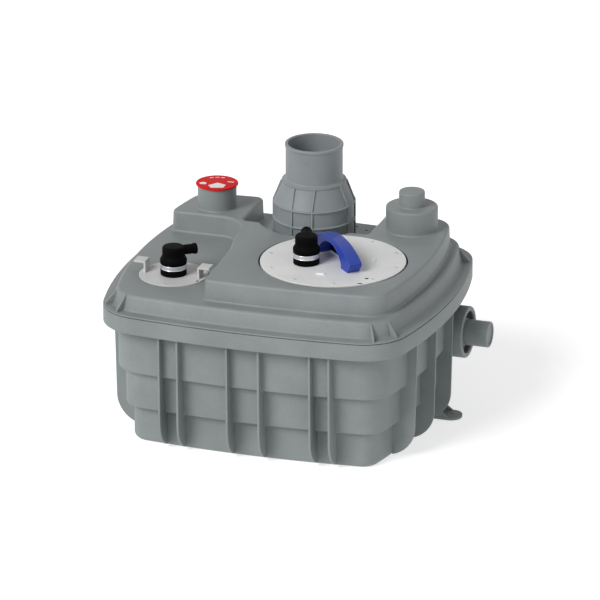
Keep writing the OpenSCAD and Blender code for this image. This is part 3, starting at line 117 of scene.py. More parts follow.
# Lid: its flange and its two decks, each deck drawn in from the rim at its sides, front and rear.
# The lower deck's wall is given by insets from that outline, heights and corner radii
FLANGE_Z = 275.5
DECK_A_Z = 307.0
DECK_B_Z = 349.0
CEILING_Z = DECK_A_Z - WALL
DECK_A_IN = (25.0, 28.0, 31.0)
DECK_A_CORNER = 64.0
DECK_A_WALL = ((-16.0, FLANGE_Z), (-6.5, FLANGE_Z, 6), (2.0, DECK_A_Z, 8), (14.0, DECK_A_Z))
DECK_B_IN = (44.0, 59.0, 58.0)
DECK_B_CORNER = 46.0
DECK_B_FOOT = 4.5
DECK_B_EDGE = 6.0
DECK_B_DRAFT = 1.2

# The hatch's corner of the upper deck: its wall runs in from the left edge, round a corner and
# down to the front edge, through points with their corner radii
FRONT_WALL_X = -93.0
HATCH_WALL = ((-113.0, 10.0, 60), (-100.0, -60.0, 120), (-95.0, -150.0, 120))
HATCH_BACK_Y = 104.0
HATCH_CORNER = (-173.0, 48.0)
HATCH_CORNER_R = 56.0

# The tower's bay of the upper deck, and the drum round the motor cover that runs into it
BAY_X = 126.0
BAY_Y = 97.5
BAY_MOUTH_X = 90.6
BAY_R = 106.0
BAY_SPAN = (-91.0, -143.0)
BAY_CUSP = (7.0, 46.6)
DRUM_R = 152.0
DRUM_START = (80.2, 83.2)
DRUM_SPAN = (106.0, 127.5)

# Gussets of the flange: an angle and the side of the lid, front 1 or rear -1
GUSSETS = ((-60, 1), (-27, 1), (-5, -1))
GUSSET_DEPTH = 36.0
GUSSET_GAP = 3.0
GUSSET_T = 4.0

# Ridge by the hatch: start, end, width and height, and two dark dots of painted shade for small holes behind
# the tower
RIDGE = (-285.0, -260.0, 2.5, 1.2)
DECK_DOTS = ((58.7, 238.2), (82.8, 223.4))
DOT_R = 2.6
DOT_H = 0.25

# Places of the pump, the hatch and the spigots
PUMP = (109.0, -63.5)
HATCH = (-191.0, -122.5)
SPIGOT_Y = 152.5
SIDE_SPIGOT_X = 197.0

# Spigots
VENT_R = 37.5
VENT_TOP = 395.0
PLUG_R = 50.0
PLUG_TOP = 396.0
PLUG_STUB_R = 25.0
PLUG_STUB_TOP = 426.0
SPIGOT_WALL = 4.0
SPIGOT_FOOT = 3.0

# Inlet tower
TOWER_HOLE_R = 67.0
TOWER_R = 77.0
TOWER_BORE = 67.0
TOWER_FOOT_Z = 309.5
TOWER_BODY_Z = 385.5
TOWER_CONE_Z = 428.5
TOWER_RINGS = (350.5, 383.5)
TOWER_RIB = 3.0
TOWER_RIB_T = 3.0
TOWER_RIB_OFF = 20.5
INLET_R = 55.0
INLET_BORE = 50.0
INLET_TOP = 501.5
INLET_LIP = 1.4
INLET_LIP_H = 5.5
NECK_RING = 7.5

# Motor cover, its collar's outer and inner radius and depth, its seat, and its two dark marks of
# painted shade: an open hole and a notch at the rim
COVER_R = 138.8
COVER_Z = (342.0, 350.0)
COVER_EDGE = 1.2
COVER_RIM = 4.0
COVER_COLLAR = (110.0, 105.0, 8.0)
SEAT_R = 142.0
SEAT_Z = 341.0
SEAT_FLARE = 1.0
OPENING_R = 112.0
COVER_HOLE = (90.0, -72.0)
COVER_HOLE_R = 4.2
COVER_NOTCH = -50.0
COVER_NOTCH_IN = 4.6
HOLE_SINK = 0.6
HOLE_GAP = 0.05

# Hatch cover, its seat, its hole and its grips
HATCH_R = 66.0
HATCH_Z = (304.0, 309.0)
HATCH_EDGE = 2.6
HATCH_SEAT_R = 66.3
HATCH_SEAT_Z = 303.0
HATCH_OPENING = 50.0
HATCH_HOLE = (55.0, -24.0)
HATCH_HOLE_R = 3.6
GRIP_WEB = 52.0
GRIP_T = 4.0
GRIP_H = 23.0
GRIP_REACH = 20.0
GRIP_W = 26.0

# Lifting handle: half length, heights, the cut at its ends and the gap for the fingers
HANDLE = (112.0, -57.5)
HANDLE_TURN = -46.0
HANDLE_W = 26.0
HANDLE_HALF = 86.0
HANDLE_TOP = 47.0
HANDLE_END = 20.0
HANDLE_CUT = (10.0, 14.0)
HANDLE_GAP = (48.0, 36.0)
HANDLE_FOOT = 9.0

# Cable boots and their clamps
MOTOR_BOOT = (64.6, -91.1)
MOTOR_BOOT_TURN = 108.0
HATCH_BOOT_TURN = 38.0
BOOT_R = 25.0
BOOT_WAIST_R = 24.1
BOOT_CROWN_R = 21.5
BOOT_H = 56.5
NOZZLE_R = 9.5
NOZZLE_RIM_R = 10.6
NOZZLE_BORE = 5.0
NOZZLE_L = 46.0
NOZZLE_Z = 46.0
CLAMP_Z = (12.6, 21.4)
CLAMP_MIDDLE = 17.0
CLAMP_TURN = 20.0
CLAMP_SLOTS = 12
SLOT_START = 28.0
SLOT_STEP = 7.0

# Vent cap, and the plain shapes that stand for its print
CAP_RIM = 3.5
CAP_T = 3.0
CAP_DEPTH = 12.0
CAP_FIT = 0.3
LABEL_TURN = 18.0
LABEL_SHAPES = (
    ((-12, -30), (12, -30), (17, -14), (1, -2), (-17, -16)),
    ((-33, -9), (-22, -11), (-20, -3), (-26, 3), (-34, -1)),
    ((20, 2), (32, -1), (33, 3), (21, 6)),
    ((-14, 24), (-7, 26), (-8, 29), (-15, 27)),
    ((-4, 27), (4, 27), (4, 30), (-4, 30)),
    ((7, 26), (14, 24), (15, 27), (8, 29)))

# CAD nodes whose screws are painted like the cover they hold
PALE_SCREWS = ("motor_cover_screws", "hatch_screws")

# Stage, light and camera, in metres and degrees; a lamp has its direction, strength and spread
FLOOR_HALF = 30.0
FLOOR_DROP = 0.0002
FLOOR_LIFT = 0.62
FLOOR_GLOW = 0.4
SKY_STRENGTH = 0.29
LAMPS = (("key", (-0.38, -0.68, 0.6), 2.2, 30.0), ("fill", (0.9, -0.2, 0.1), 0.28, 40.0))
CAMERA_AZIMUTH = 18.3
CAMERA_ELEVATION = 20.8
CAMERA_AIM = (0.0, 0.0075, 0.230)
CAMERA_SIDE = 0.0183
CAMERA_UP = 0.001
CAMERA_DISTANCE = 15.3
CAMERA_LENS = 480.0
CAMERA_SENSOR = 36.0


# Points and outlines

def arc(centre, radius, start, end, steps):
    """Points along an arc, angles in degrees."""
    turn = [math.radians(start + (end - start) * i / steps) for i in range(steps + 1)]
    return [(centre[0] + radius * math.cos(t), centre[1] + radius * math.sin(t)) for t in turn]


def corner_centre(a, b, r1, r2, r):
    """Centre of a bowed block's corner arc, found by a few rounds of substitution."""
    x, y = 0.0, 0.0
    for _ in range(8):
        x, y = (a - r2 + math.sqrt((r2 - r) ** 2 - y * y), b - r1 + math.sqrt((r1 - r) ** 2 - x * x))
    return x, y


def quarter(a, b, r1, r2, r, dense=1):
    """A quarter of a bowed block's outline, from the middle of its side to the middle of its rear."""
    x, y = corner_centre(a, b, r1, r2, r)
    t2 = math.degrees(math.atan2(y, x - (a - r2)))
    t1 = math.degrees(math.atan2(y - (b - r1), x))
    side = arc((a - r2, 0), r2, 0, t2, 10 * dense)
    bend = arc((x, y), r, t2, t1, 20 * dense)
    rear = arc((0, b - r1), r1, t1, 90, 14 * dense)
    return side + bend[1:] + rear[1:]


def outline(a, y0, y1, r1, r2, r, dense=1):
    """Closed outline of a bowed block, anticlockwise from the middle of its right side."""
    q = quarter(a, (y1 - y0) / 2, r1, r2, r, dense)
    mid = (y0 + y1) / 2
    points = q + [(-x, y) for x, y in q[-2::-1]]
    points += [(-x, -y) for x, y in q[1:]] + [(x, -y) for x, y in q[-2:0:-1]]
    return [(x, y + mid) for x, y in points]


def inset_block(spec, inset, dense=1):
    """The outline of a block drawn in all round by an inset."""
    a, y0, y1, r1, r2, r = spec
    return outline(a - inset, y0 + inset, y1 - inset, r1 - inset, r2 - inset, r - inset, dense)


def deck_block(inset, corner):
    """Spec of a deck's bowed block: the rim's, drawn in at the sides, the front and the rear."""
    side, front, rear = inset
    return HALF_L - side, front - HALF_W, HALF_W - rear, BOW_FRONT - front, BOW_SIDE - side, corner


DECK_A = deck_block(DECK_A_IN, DECK_A_CORNER)
DECK_B = deck_block(DECK_B_IN, DECK_B_CORNER)


def rounded(points, closed=True, steps=6):
    """A polyline whose corners are rounded: each point is (x, y) or (x, y, radius)."""
    out = []
    count = len(points)
    for i, point in enumerate(points):
        here = Vector(point[:2])
        radius = point[2] if len(point) > 2 else 0.0
        if radius <= 0 or (not closed and i in (0, count - 1)):
            out.append((here.x, here.y))
            continue
        back = Vector(points[i - 1][:2]) - here
        ahead = Vector(points[(i + 1) % count][:2]) - here
        angle = back.angle(ahead)
        cut = min(radius / math.tan(angle / 2), back.length * 0.499, ahead.length * 0.499)
        radius = cut * math.tan(angle / 2)
        start = here + back.normalized() * cut
        end = here + ahead.normalized() * cut
        centre = here + (back.normalized() + ahead.normalized()).normalized() * (radius / math.sin(angle / 2))
        v0, v1 = start - centre, end - centre
        swing = v0.angle_signed(v1)
        for k in range(steps + 1):
            spun = Matrix.Rotation(-swing * k / steps, 2) @ v0
            out.append((centre.x + spun.x, centre.y + spun.y))
    return out


def ring(points, z):
    """Outline points at one height."""
    return [(x, y, z) for x, y in points]


def shrink(points, distance):
    """A closed anticlockwise outline moved inwards along its own normals."""
    out = []
    count = len(points)
    for i in range(count):
        before, here, after = (Vector(points[(i + k) % count]) for k in (-1, 0, 1))
        a, b = (here - before).normalized(), (after - here).normalized()
        normal = Vector((-a.y - b.y, a.x + b.x)).normalized()
        out.append(tuple(here + normal * distance / max(normal.dot(Vector((-a.y, a.x))), 0.5)))
    return out


def disc_outline(centre, radius, steps=TURN_STEPS):
    """A closed circle, anticlockwise."""
    return arc(centre, radius, 0, 360, steps)[:-1]


# Meshes

def piece(name, bm, body, material, replaces=(), sharp=32.0):
    """Makes a shaded object from a bmesh in millimetres and fastens it to its body."""
    bmesh.ops.remove_doubles(bm, verts=bm.verts, dist=0.002)
    bmesh.ops.scale(bm, vec=(MM, MM, MM), verts=bm.verts)
    bmesh.ops.recalc_face_normals(bm, faces=bm.faces)
    mesh = bpy.data.meshes.new(name)
    bm.to_mesh(mesh)
    bm.free()
    mesh.shade_smooth()
    mesh.set_sharp_from_angle(angle=math.radians(sharp))
    obj = bpy.data.objects.new(name, mesh)
    bpy.context.scene.collection.objects.link(obj)
    mesh.materials.append(material)
    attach(obj, body)
    if replaces:
        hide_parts(*replaces)
    return obj


def soften(obj, width, segments=3, angle=35.0):
    """Rounds an object's sharp edges."""
    bevel = obj.modifiers.new("soften", "BEVEL")
    bevel.width = width * MM
    bevel.segments = segments
    bevel.limit_method = "ANGLE"
    bevel.angle_limit = math.radians(angle)
    bevel.harden_normals = True
    return obj


def add_loft(bm, rings, first_cap=False, last_cap=False, wrap=False):
    """Joins rings of equal length into a skin; wrap joins the last ring to the first."""
    rows = [[bm.verts.new(p) for p in points] for points in rings]
    pairs = list(zip(rows, rows[1:])) + ([(rows[-1], rows[0])] if wrap else [])
    for low, high in pairs:
        for i in range(len(low)):
            j = (i + 1) % len(low)
            bm.faces.new((low[i], low[j], high[j], high[i]))
    if first_cap:
        bm.faces.new(rows[0][::-1])
    if last_cap:
        bm.faces.new(rows[-1])
    return rows


def add_turned(bm, profile, place, steps=TURN_STEPS, closed=True):
    """Turns a profile of (radius, height) about its own axis and places it; closed makes a ring."""
    rings = []
    for radius, height in profile:
        circle = arc((0, 0), max(radius, 0.0), 0, 360, steps)[:-1]
        rings.append([place @ Vector((x, y, height)) for x, y in circle])
    add_loft(bm, rings, wrap=closed)
    drop_slivers(bm)


def drop_slivers(bm):
    """Merges the points that fall together on a turning axis."""
    bmesh.ops.remove_doubles(bm, verts=bm.verts, dist=0.0005)


def add_plane(bm, loops, z):
    """Fills a flat region between closed loops, the first one outside and the rest as holes."""
    edges = []
    for points in loops:
        verts = [bm.verts.new((x, y, z)) for x, y in points]
        edges += [bm.edges.new((verts[i], verts[(i + 1) % len(verts)])) for i in range(len(verts))]
    bmesh.ops.triangle_fill(bm, use_beauty=True, use_dissolve=False, edges=edges, normal=(0, 0, 1))


def add_slab(bm, points, z0, z1, edge=0.0, steps=3):
    """A plate with an outline and rounded rims at its top and bottom."""
    rings = []
    if edge:
        for k in range(steps + 1):
            t = math.radians(90 - 90 * k / steps)
            rings.append(ring(shrink(points, edge * (1 - math.cos(t))), z0 + edge * (1 - math.sin(t))))
        for k in range(steps + 1):
            t = math.radians(90 * k / steps)
            rings.append(ring(shrink(points, edge * (1 - math.cos(t))), z1 - edge * (1 - math.sin(t))))
    else:
        rings = [ring(points, z0), ring(points, z1)]
    add_loft(bm, rings, first_cap=True, last_cap=True)


def add_profile(bm, points, matrix, thickness):
    """A flat outline swept by a thickness, half to each side, then placed by a matrix."""
    half = thickness / 2
    low = [bm.verts.new(matrix @ Vector((x, y, -half))) for x, y in points]
    high = [bm.verts.new(matrix @ Vector((x, y, half))) for x, y in points]
    for i in range(len(points)):
        j = (i + 1) % len(points)
        bm.faces.new((low[i], low[j], high[j], high[i]))
    bm.faces.new(low[::-1])
    bm.faces.new(high)


def upright(x, y, direction):
    """Matrix of a standing plate: its outline runs out along a direction and up, at a place."""
    turn = math.radians(direction)
    out = Vector((math.cos(turn), math.sin(turn), 0))
    across = Vector((math.sin(turn), -math.cos(turn), 0))
    return Matrix((
        (out.x, 0, across.x, x),
        (out.y, 0, across.y, y),
        (0, 1, 0, 0),
        (0, 0, 0, 1)))


def at(x, y, z=0.0):
    """Matrix of a part that stands upright at a place."""
    return Matrix.Translation((x, y, z))


def facing(x, y, z, axis):
    """Matrix of a part whose own height runs along an axis, from a place."""
    turn = Vector((0, 0, 1)).rotation_difference(Vector(axis)).to_matrix().to_4x4()
    return Matrix.Translation((x, y, z)) @ turn


def bow(radius, distance):
    """How far a bowed face has drawn in at a distance from its middle."""
    return radius - math.sqrt(radius * radius - distance * distance)


# Tank

def tank_rings():
    """Rings of the tank's skin, from under the floor, up outside, over the rim and down inside."""
    path = [(FLOOR_EDGE, 0.0), (COURSES[0][0], 0.0, 13.0)]
    for (low, top), (high, _) in zip(COURSES, COURSES[1:]):
        path += [(low, top, 2.5), (high, top, 3.5)]
    under = COURSES[2][1]
    path += [(COURSES[2][0], under, 5.0), (SKIRT_T, under, 2.0), (SKIRT_T, SKIRT_Z, 1.2),
             (0.0, SKIRT_Z, 1.6), (0.0, RIM_Z - SEAM_BELOW, 0.5), (SEAM_DEPTH, RIM_Z - SEAM_BELOW),
             (SEAM_DEPTH, RIM_Z), (COURSES[2][0] + WALL, RIM_Z, 1.2)]
    for (high, _), (low, top) in zip(COURSES[::-1], COURSES[1::-1]):
        path += [(high + WALL, top + WALL, 3.0), (low + WALL, top + WALL, 3.0)]
    path += [(COURSES[0][0] + WALL, FLOOR_T, 9.0), (FLOOR_EDGE, FLOOR_T)]
    return [ring(inset_block(RIM, inset), z) for inset, z in rounded(path, closed=False, steps=5)]


def fin_profile():
    """Side view of a tank fin: distance in from the rim, then height."""
    centre = (FIN_LOW_INSET + FIN_FOOT, FIN_FOOT + FIN_BITE)
    low, mid, top = (inset + FIN_BITE for inset, _ in COURSES)
    low_z, mid_z = (height + FIN_BITE for _, height in COURSES[:2])
    end = 360 - math.degrees(math.acos((low - centre[0]) / FIN_FOOT))
    head = RIM_Z - WALL
    return ([(FIN_TOP_INSET, head)] + arc(centre, FIN_FOOT, 180, end, 20)
            + [(low, low_z), (mid, low_z), (mid, mid_z), (top, mid_z), (top, head)])


def fin_places():
    """Place and inward direction of every fin."""
    for x in FRONT_FINS:
        for side in (-1, 1):
            y = HALF_W - bow(BOW_FRONT, x)
            yield side * x, -y, 90
            yield side * x, y, -90
    for y in SIDE_FINS:
        for side in (-1, 1):
            x = HALF_L - bow(BOW_SIDE, y)
            yield -x, side * y, 0
            if side * y < SIDE_FINS[1]:
                yield x, side * y, 180


def build_tank(material):
    """Tank skin, fins, side inlet, rear pad and fixing lugs."""
    bm = bmesh.new()
    add_loft(bm, tank_rings(), first_cap=True, last_cap=True)
    add_side_inlet(bm)
    add_rear_pad(bm)
    piece("tank_body", bm, "station", material,
          ["tank_base", "tank_middle", "tank_top", "side_inlet"])

    bm = bmesh.new()
    for x, y, direction in fin_places():
        add_profile(bm, fin_profile(), upright(x, y, direction), FIN_T)
    soften(piece("ribs_of_tank", bm, "station", material, ["tank_fins"]), 1.1)

    bm = bmesh.new()
    for side in (-1, 1):
        add_lug(bm, side)
    soften(piece("lugs_of_tank", bm, "station", material, ["fixing_lugs"]), 1.0)


def add_side_inlet(bm):
    """Round collar on the right wall with a closed stub inside it."""
    axis = facing(0, SIDE_Y, SIDE_Z, (1, 0, 0))
    lip = COLLAR_END
    collar = rounded([
        (STUB_R, WEB_X), (COLLAR_BORE, WEB_X, 4), (COLLAR_BORE, lip - LIP_FOOT_L, 2),
        (COLLAR_MOUTH, lip - LIP_L, 2), (COLLAR_MOUTH, lip, 2.8), (COLLAR_R, lip, 2.8),
        (COLLAR_R, COLLAR_DEEP), (STUB_R, COLLAR_DEEP)])
    add_turned(bm, collar, axis)
    face = STUB_END - STUB_DISH
    stub = rounded([
        (0, face), (STUB_FACE_R, face, 2), (STUB_RIM_R, STUB_END, 1.2),
        (STUB_R, STUB_END, 1.6), (STUB_R, STUB_ROOT_END, 0.8), (STUB_ROOT_R, STUB_ROOT_END - 1, 0.8),
        (STUB_ROOT_R, WEB_X + 3, 3), (STUB_ROOT_R + 4, WEB_X - 1), (0, WEB_X - 1)], closed=False)
    add_turned(bm, stub, axis, closed=False)
    rib_end = STUB_ROOT_END - WALL
    rib = [(WEB_X - 1, -COLLAR_BORE - 1), (rib_end, -COLLAR_BORE - 1), (rib_end, -STUB_R),
           (WEB_X - 1, -STUB_R)]
    add_profile(bm, rib, Matrix.Translation((0, SIDE_Y, SIDE_Z)) @ upright(0, 0, 0), FIN_T)


def add_rear_pad(bm):
    """Round boss on the rear wall where the discharge pipe comes out."""
    x, z = OUTLET
    boss = rounded([
        (GROMMET_R, -PAD_ROOT), (GROMMET_R, PAD_T, 1), (PAD_R, PAD_T, 1.5), (PAD_R, -PAD_T),
        (PAD_R, -PAD_ROOT)])
    wall_y = HALF_W - bow(BOW_FRONT, x) - COURSES[2][0]
    add_turned(bm, boss, facing(x, wall_y, z, (0, 1, 0)))


def add_lug(bm, side):
    """Foot plate with a rounded tip, a screw hole and two gussets."""
    half = LUG_W / 2
    wall_x = HALF_L - bow(BOW_SIDE, LUG_Y) - COURSES[0][0]
    start, tip = wall_x - WALL, wall_x + LUG_REACH
    plate = [(start, LUG_Y - half)] + arc((tip, LUG_Y), half, -90, 90, 24) + [(start, LUG_Y + half)]
    hole = disc_outline((tip, LUG_Y), LUG_HOLE, HOLE_STEPS)
    if side < 0:
        plate = [(-x, y) for x, y in plate[::-1]]
        hole = [(-x, y) for x, y in hole]
    for z in (0.0, LUG_T):
        add_plane(bm, [plate, hole], z)
    for points in (plate, hole):
        add_loft(bm, [ring(points, 0.0), ring(points, LUG_T)])
    foot = tip - start
    gusset = [(0, LUG_T - 1), (foot, LUG_T - 1), (WALL, LUG_T + LUG_GUSSET), (0, LUG_T + LUG_GUSSET)]
    for edge in (-1, 1):
        y = LUG_Y + edge * (half - LUG_T / 2)
        add_profile(bm, gusset, upright(side * start, y, 0 if side > 0 else 180), LUG_T - 1)


# Lid

def front_y(x):
    """Front edge of the upper deck."""
    return DECK_B[1] + bow(DECK_B[3], x)


def rear_y(x):
    """Rear edge of the upper deck."""
    return DECK_B[2] - bow(DECK_B[3], x)


def left_x(y):
    """Left edge of the upper deck."""
    return -DECK_B[0] + bow(DECK_B[4], y - (DECK_B[1] + DECK_B[2]) / 2)


def near_points(points, keep):
    """The run of outline points that a test keeps, in order from where the run starts."""
    count = len(points)
    start = next(i for i in range(count) if keep(*points[i]) and not keep(*points[i - 1]))
    run = []
    while keep(*points[start % count]):
        run.append(points[start % count])
        start += 1
    return run


def upper_deck_outline():
    """Plan of the upper deck: bowed block less the hatch's corner and the inlet's bay."""
    block = outline(*DECK_B, dense=2)
    outer, inner, rear = 14, 9, 20
    clear = rear + 8
    right = near_points(block, lambda x, y: (y < 0 and x > FRONT_WALL_X + 22) or x > BAY_X + clear)
    left = near_points(block, lambda x, y: x < -BAY_X - clear and y > HATCH_BACK_Y + 20)
    path = [(FRONT_WALL_X, front_y(FRONT_WALL_X), outer)] + right
    path += [(BAY_X, rear_y(BAY_X), rear), (BAY_X, BAY_Y, inner), (BAY_MOUTH_X, BAY_Y, 10)]
    path += [(*DRUM_START, inner)] + arc(PUMP, DRUM_R, *DRUM_SPAN, 16)
    path += [(*BAY_CUSP, inner)] + arc((0.0, SPIGOT_Y), BAY_R, *BAY_SPAN, 24)
    path += [(-BAY_MOUTH_X, BAY_Y, 10), (-BAY_X, BAY_Y, inner), (-BAY_X, rear_y(BAY_X), rear)] + left
    path += [(left_x(HATCH_BACK_Y), HATCH_BACK_Y, outer)]
    path += arc(HATCH_CORNER, HATCH_CORNER_R, 88, 0, 24)
    path += HATCH_WALL
    return rounded(path, steps=8)


def edge_rows(points, z0, z1, foot, top, draft):
    """Rings of a moulded wall: a hollow foot, a slight lean, and a rounded top edge."""
    rows = []
    steps = 5
    for k in range(steps + 1):
        t = math.radians(90 * k / steps)
        rows.append(ring(shrink(points, -draft - foot * (1 - math.sin(t))), z0 + foot * (1 - math.cos(t))))
    for k in range(steps + 1):
        t = math.radians(90 * k / steps)
        rows.append(ring(shrink(points, top * (1 - math.cos(t))), z1 - top * (1 - math.sin(t))))
    return rows


def lid_flange_rings():
    """Rings from under the flange, over its rim, to the foot of the lower deck's wall."""
    seam = RIM_Z + SEAM_ABOVE
    rows = [(SEAM_INSET, RIM_Z), (SEAM_DEPTH, RIM_Z + 0.1), (SEAM_DEPTH, seam), (0.3, seam),
            (0.0, seam + 0.3), (0.0, FLANGE_Z - 1.2), (0.4, FLANGE_Z - 0.4), (1.4, FLANGE_Z)]
    return [ring(inset_block(RIM, inset), z) for inset, z in rows]


def lower_wall_rings():
    """Rings of the lower deck's sloping wall, rounded into the flange and into the deck."""
    profile = rounded(DECK_A_WALL, closed=False)
    return [ring(inset_block(DECK_A, inset), z) for inset, z in profile[1:-1]]


def spigot_foot(radius, z):
    """Hollow between a spigot and the deck it stands on."""
    return [(radius + SPIGOT_FOOT, z), (radius + 1.3, z + 0.5), (radius + 0.4, z + 1.6), (radius, z + 3.2)]


def seat_profile(radius, top, seat_z, opening):
    """Half section of a sunk seat: a softened mouth, the seat itself and the opening inside it."""
    return [(radius + SEAT_FLARE, top), (radius + 0.3, top - 0.3), (radius, top - SEAT_FLARE),
            (radius, seat_z), (opening, seat_z), (opening, CEILING_Z)]


def build_lid(material, dark):
    """Both decks of the lid in one skin with every hole and seat, the gussets, the ridge and the dots of
    painted hole shade.
    """
    bm = bmesh.new()
    rings = lid_flange_rings() + lower_wall_rings()
    rows = add_loft(bm, rings)
    deck_edge = [v.co.xy[:] for v in rows[-1]]
    upper = upper_deck_outline()
    wall = edge_rows(upper, DECK_A_Z, DECK_B_Z, DECK_B_FOOT, DECK_B_EDGE, DECK_B_DRAFT)
    add_loft(bm, wall)
    foot = [(x, y) for x, y, _ in wall[0]]
    crest = [(x, y) for x, y, _ in wall[-1]]
    seat_mouth = disc_outline(HATCH, HATCH_SEAT_R + SEAT_FLARE)
    tower_hole = disc_outline((0, SPIGOT_Y), TOWER_HOLE_R)
    add_plane(bm, [deck_edge, foot, seat_mouth, tower_hole], DECK_A_Z)
    cover_mouth = disc_outline(PUMP, SEAT_R + SEAT_FLARE)
    vent_foot = disc_outline((-SIDE_SPIGOT_X, SPIGOT_Y), VENT_R + SPIGOT_FOOT)
    plug_foot = disc_outline((SIDE_SPIGOT_X, SPIGOT_Y), PLUG_R + SPIGOT_FOOT)
    add_plane(bm, [crest, cover_mouth, vent_foot, plug_foot], DECK_B_Z)
    add_lid_seats(bm)
    add_spigots(bm)
    inside = [point[:2] for point in rings[0]]
    add_plane(bm, [inside, disc_outline(HATCH, HATCH_OPENING), tower_hole, disc_outline(PUMP, OPENING_R),
                   disc_outline((-SIDE_SPIGOT_X, SPIGOT_Y), VENT_R - SPIGOT_WALL)], CEILING_Z)
    add_loft(bm, [rings[0], ring(inside, CEILING_Z)])
    piece("lid_body", bm, "station", material,
          ["lid_lower_deck", "lid_upper_deck", "vent_pipe", "plug_pipe"])

    bm = bmesh.new()
    add_gussets(bm)
    x0, x1, width, height = RIDGE
    y0, y1 = HATCH[1] - width / 2, HATCH[1] + width / 2
    ridge = [(x0, y0), (x1, y0), (x1, y1), (x0, y1)]
    add_slab(bm, ridge, DECK_A_Z - 1, DECK_A_Z + height)
    soften(piece("lid_gussets", bm, "station", material), 0.9)

    # Two dark dots of painted shade that stand for small holes in the lower deck
    bm = bmesh.new()
    for dot in DECK_DOTS:
        add_slab(bm, disc_outline(dot, DOT_R, 24), DECK_A_Z - 1, DECK_A_Z + DOT_H)
    piece("deck_dots_painted_shade", bm, "station", dark)


def add_lid_seats(bm):
    """Sunk seats of the motor cover and the hatch, and the tower's hole."""
    seat = seat_profile(SEAT_R, DECK_B_Z, SEAT_Z, OPENING_R)
    add_turned(bm, seat, at(*PUMP), closed=False)
    seat = seat_profile(HATCH_SEAT_R, DECK_A_Z, HATCH_SEAT_Z, HATCH_OPENING)
    add_turned(bm, seat, at(*HATCH), closed=False)
    add_turned(bm, [(TOWER_HOLE_R, DECK_A_Z), (TOWER_HOLE_R, CEILING_Z)], at(0, SPIGOT_Y), closed=False)


def add_spigots(bm):
    """The open vent spigot at the left and the stepped closed one at the right."""
    bore = VENT_R - SPIGOT_WALL
    vent = spigot_foot(VENT_R, DECK_B_Z) + rounded([
        (VENT_R, DECK_B_Z + 4), (VENT_R, VENT_TOP, 1.4), (bore, VENT_TOP, 1.4), (bore, CEILING_Z)],
        closed=False)
    add_turned(bm, vent, at(-SIDE_SPIGOT_X, SPIGOT_Y), closed=False)
    plug = spigot_foot(PLUG_R, DECK_B_Z) + rounded([
        (PLUG_R, DECK_B_Z + 4), (PLUG_R, PLUG_TOP, 3.0), (PLUG_STUB_R, PLUG_TOP, 2.4),
        (PLUG_STUB_R, PLUG_STUB_TOP - 3.0, 1.0), (PLUG_STUB_R - 1.0, PLUG_STUB_TOP, 2.0),
        (0.0, PLUG_STUB_TOP)], closed=False)
    add_turned(bm, plug, at(SIDE_SPIGOT_X, SPIGOT_Y), closed=False)


def add_gussets(bm):
    """Thin ribs from the flange up to the lower deck, round the corners."""
    cx, cy = corner_centre(HALF_L, HALF_W, BOW_FRONT, BOW_SIDE, CORNER)
    inner = CORNER - GUSSET_DEPTH
    reach = CORNER - GUSSET_GAP - inner
    rib = [(-2, FLANGE_Z - 1), (reach, FLANGE_Z - 1), (reach - 1, FLANGE_Z + 3), (9, DECK_A_Z - 2.5),
           (5, DECK_A_Z - 1.0), (-2, DECK_A_Z - 1.0)]
    for mirror_x in (-1, 1):
        for angle, mirror_y in GUSSETS:
            direction = angle if mirror_x > 0 else 180 - angle
            direction *= mirror_y
            x0 = mirror_x * cx + inner * math.cos(math.radians(direction))
            y0 = -mirror_y * cy + inner * math.sin(math.radians(direction))
            add_profile(bm, rib, upright(x0, y0, direction), GUSSET_T)


# Inlet tower

def build_tower(material):
    """Bell with two rings and four pairs of upright ribs, and the open spigot on it."""
    bm = bmesh.new()
    foot, neck, lip = TOWER_FOOT_Z, TOWER_CONE_Z, INLET_TOP - INLET_LIP_H
    outer, neck_r, lip_r = TOWER_R + TOWER_RIB, INLET_R + NECK_RING, INLET_R + INLET_LIP
    profile = [(TOWER_BORE, foot), (outer, foot, 0.8), (outer, foot + 5, 1.5), (TOWER_R, foot + 8, 2.0)]
    for z in TOWER_RINGS:
        profile += [(TOWER_R, z - 0.3, 0.6), (outer, z + 0.6, 1.2), (outer, z + 3.2, 1.2),
                    (TOWER_R, z + 4.2, 0.6)]
    profile += [(neck_r - 1, neck - 3.5, 1.0), (neck_r, neck - 2.5, 1.0), (neck_r, neck, 1.4),
                (INLET_R + 4.0, neck + 0.6, 1.5), (INLET_R, neck + 3.5, 2.5), (INLET_R, lip - 1, 0.6),
                (lip_r, lip, 0.8), (lip_r, INLET_TOP, 1.6), (INLET_BORE, INLET_TOP, 1.6),
                (INLET_BORE, neck, 4), (TOWER_R - WALL, TOWER_BODY_Z, 4), (TOWER_BORE, foot + 10, 2)]
    add_turned(bm, rounded(profile, steps=4), at(0, SPIGOT_Y))
    piece("tower_bell", bm, "station", material, ["inlet_tower"])

    bm = bmesh.new()
    root = TOWER_R - 2
    rib = [(root, foot + 4), (outer, foot + 4), (outer, TOWER_BODY_Z + 1),
           (INLET_R + 6 + TOWER_RIB, neck - 1), (INLET_R + 5, neck - 1), (root, TOWER_BODY_Z)]
    rib = [(math.sqrt(radius ** 2 - TOWER_RIB_OFF ** 2), z) for radius, z in rib]
    for quadrant in range(4):
        for side in (-1, 1):
            turn = math.radians(quadrant * 90)
            x, y = -side * TOWER_RIB_OFF * math.sin(turn), side * TOWER_RIB_OFF * math.cos(turn)
            add_profile(bm, rib, upright(x, SPIGOT_Y + y, quadrant * 90), TOWER_RIB_T)
    soften(piece("tower_ribs", bm, "station", material), 0.9)


# Covers, grips, handle, boots and cap

def add_blind_hole(bm, place, radius, low, high):
    """Wall and bottom of a hole that ends just above a plate's underside."""
    add_turned(bm, [(radius, high), (radius, low + 1), (0, low + 1)], at(*place), HOLE_STEPS, closed=False)


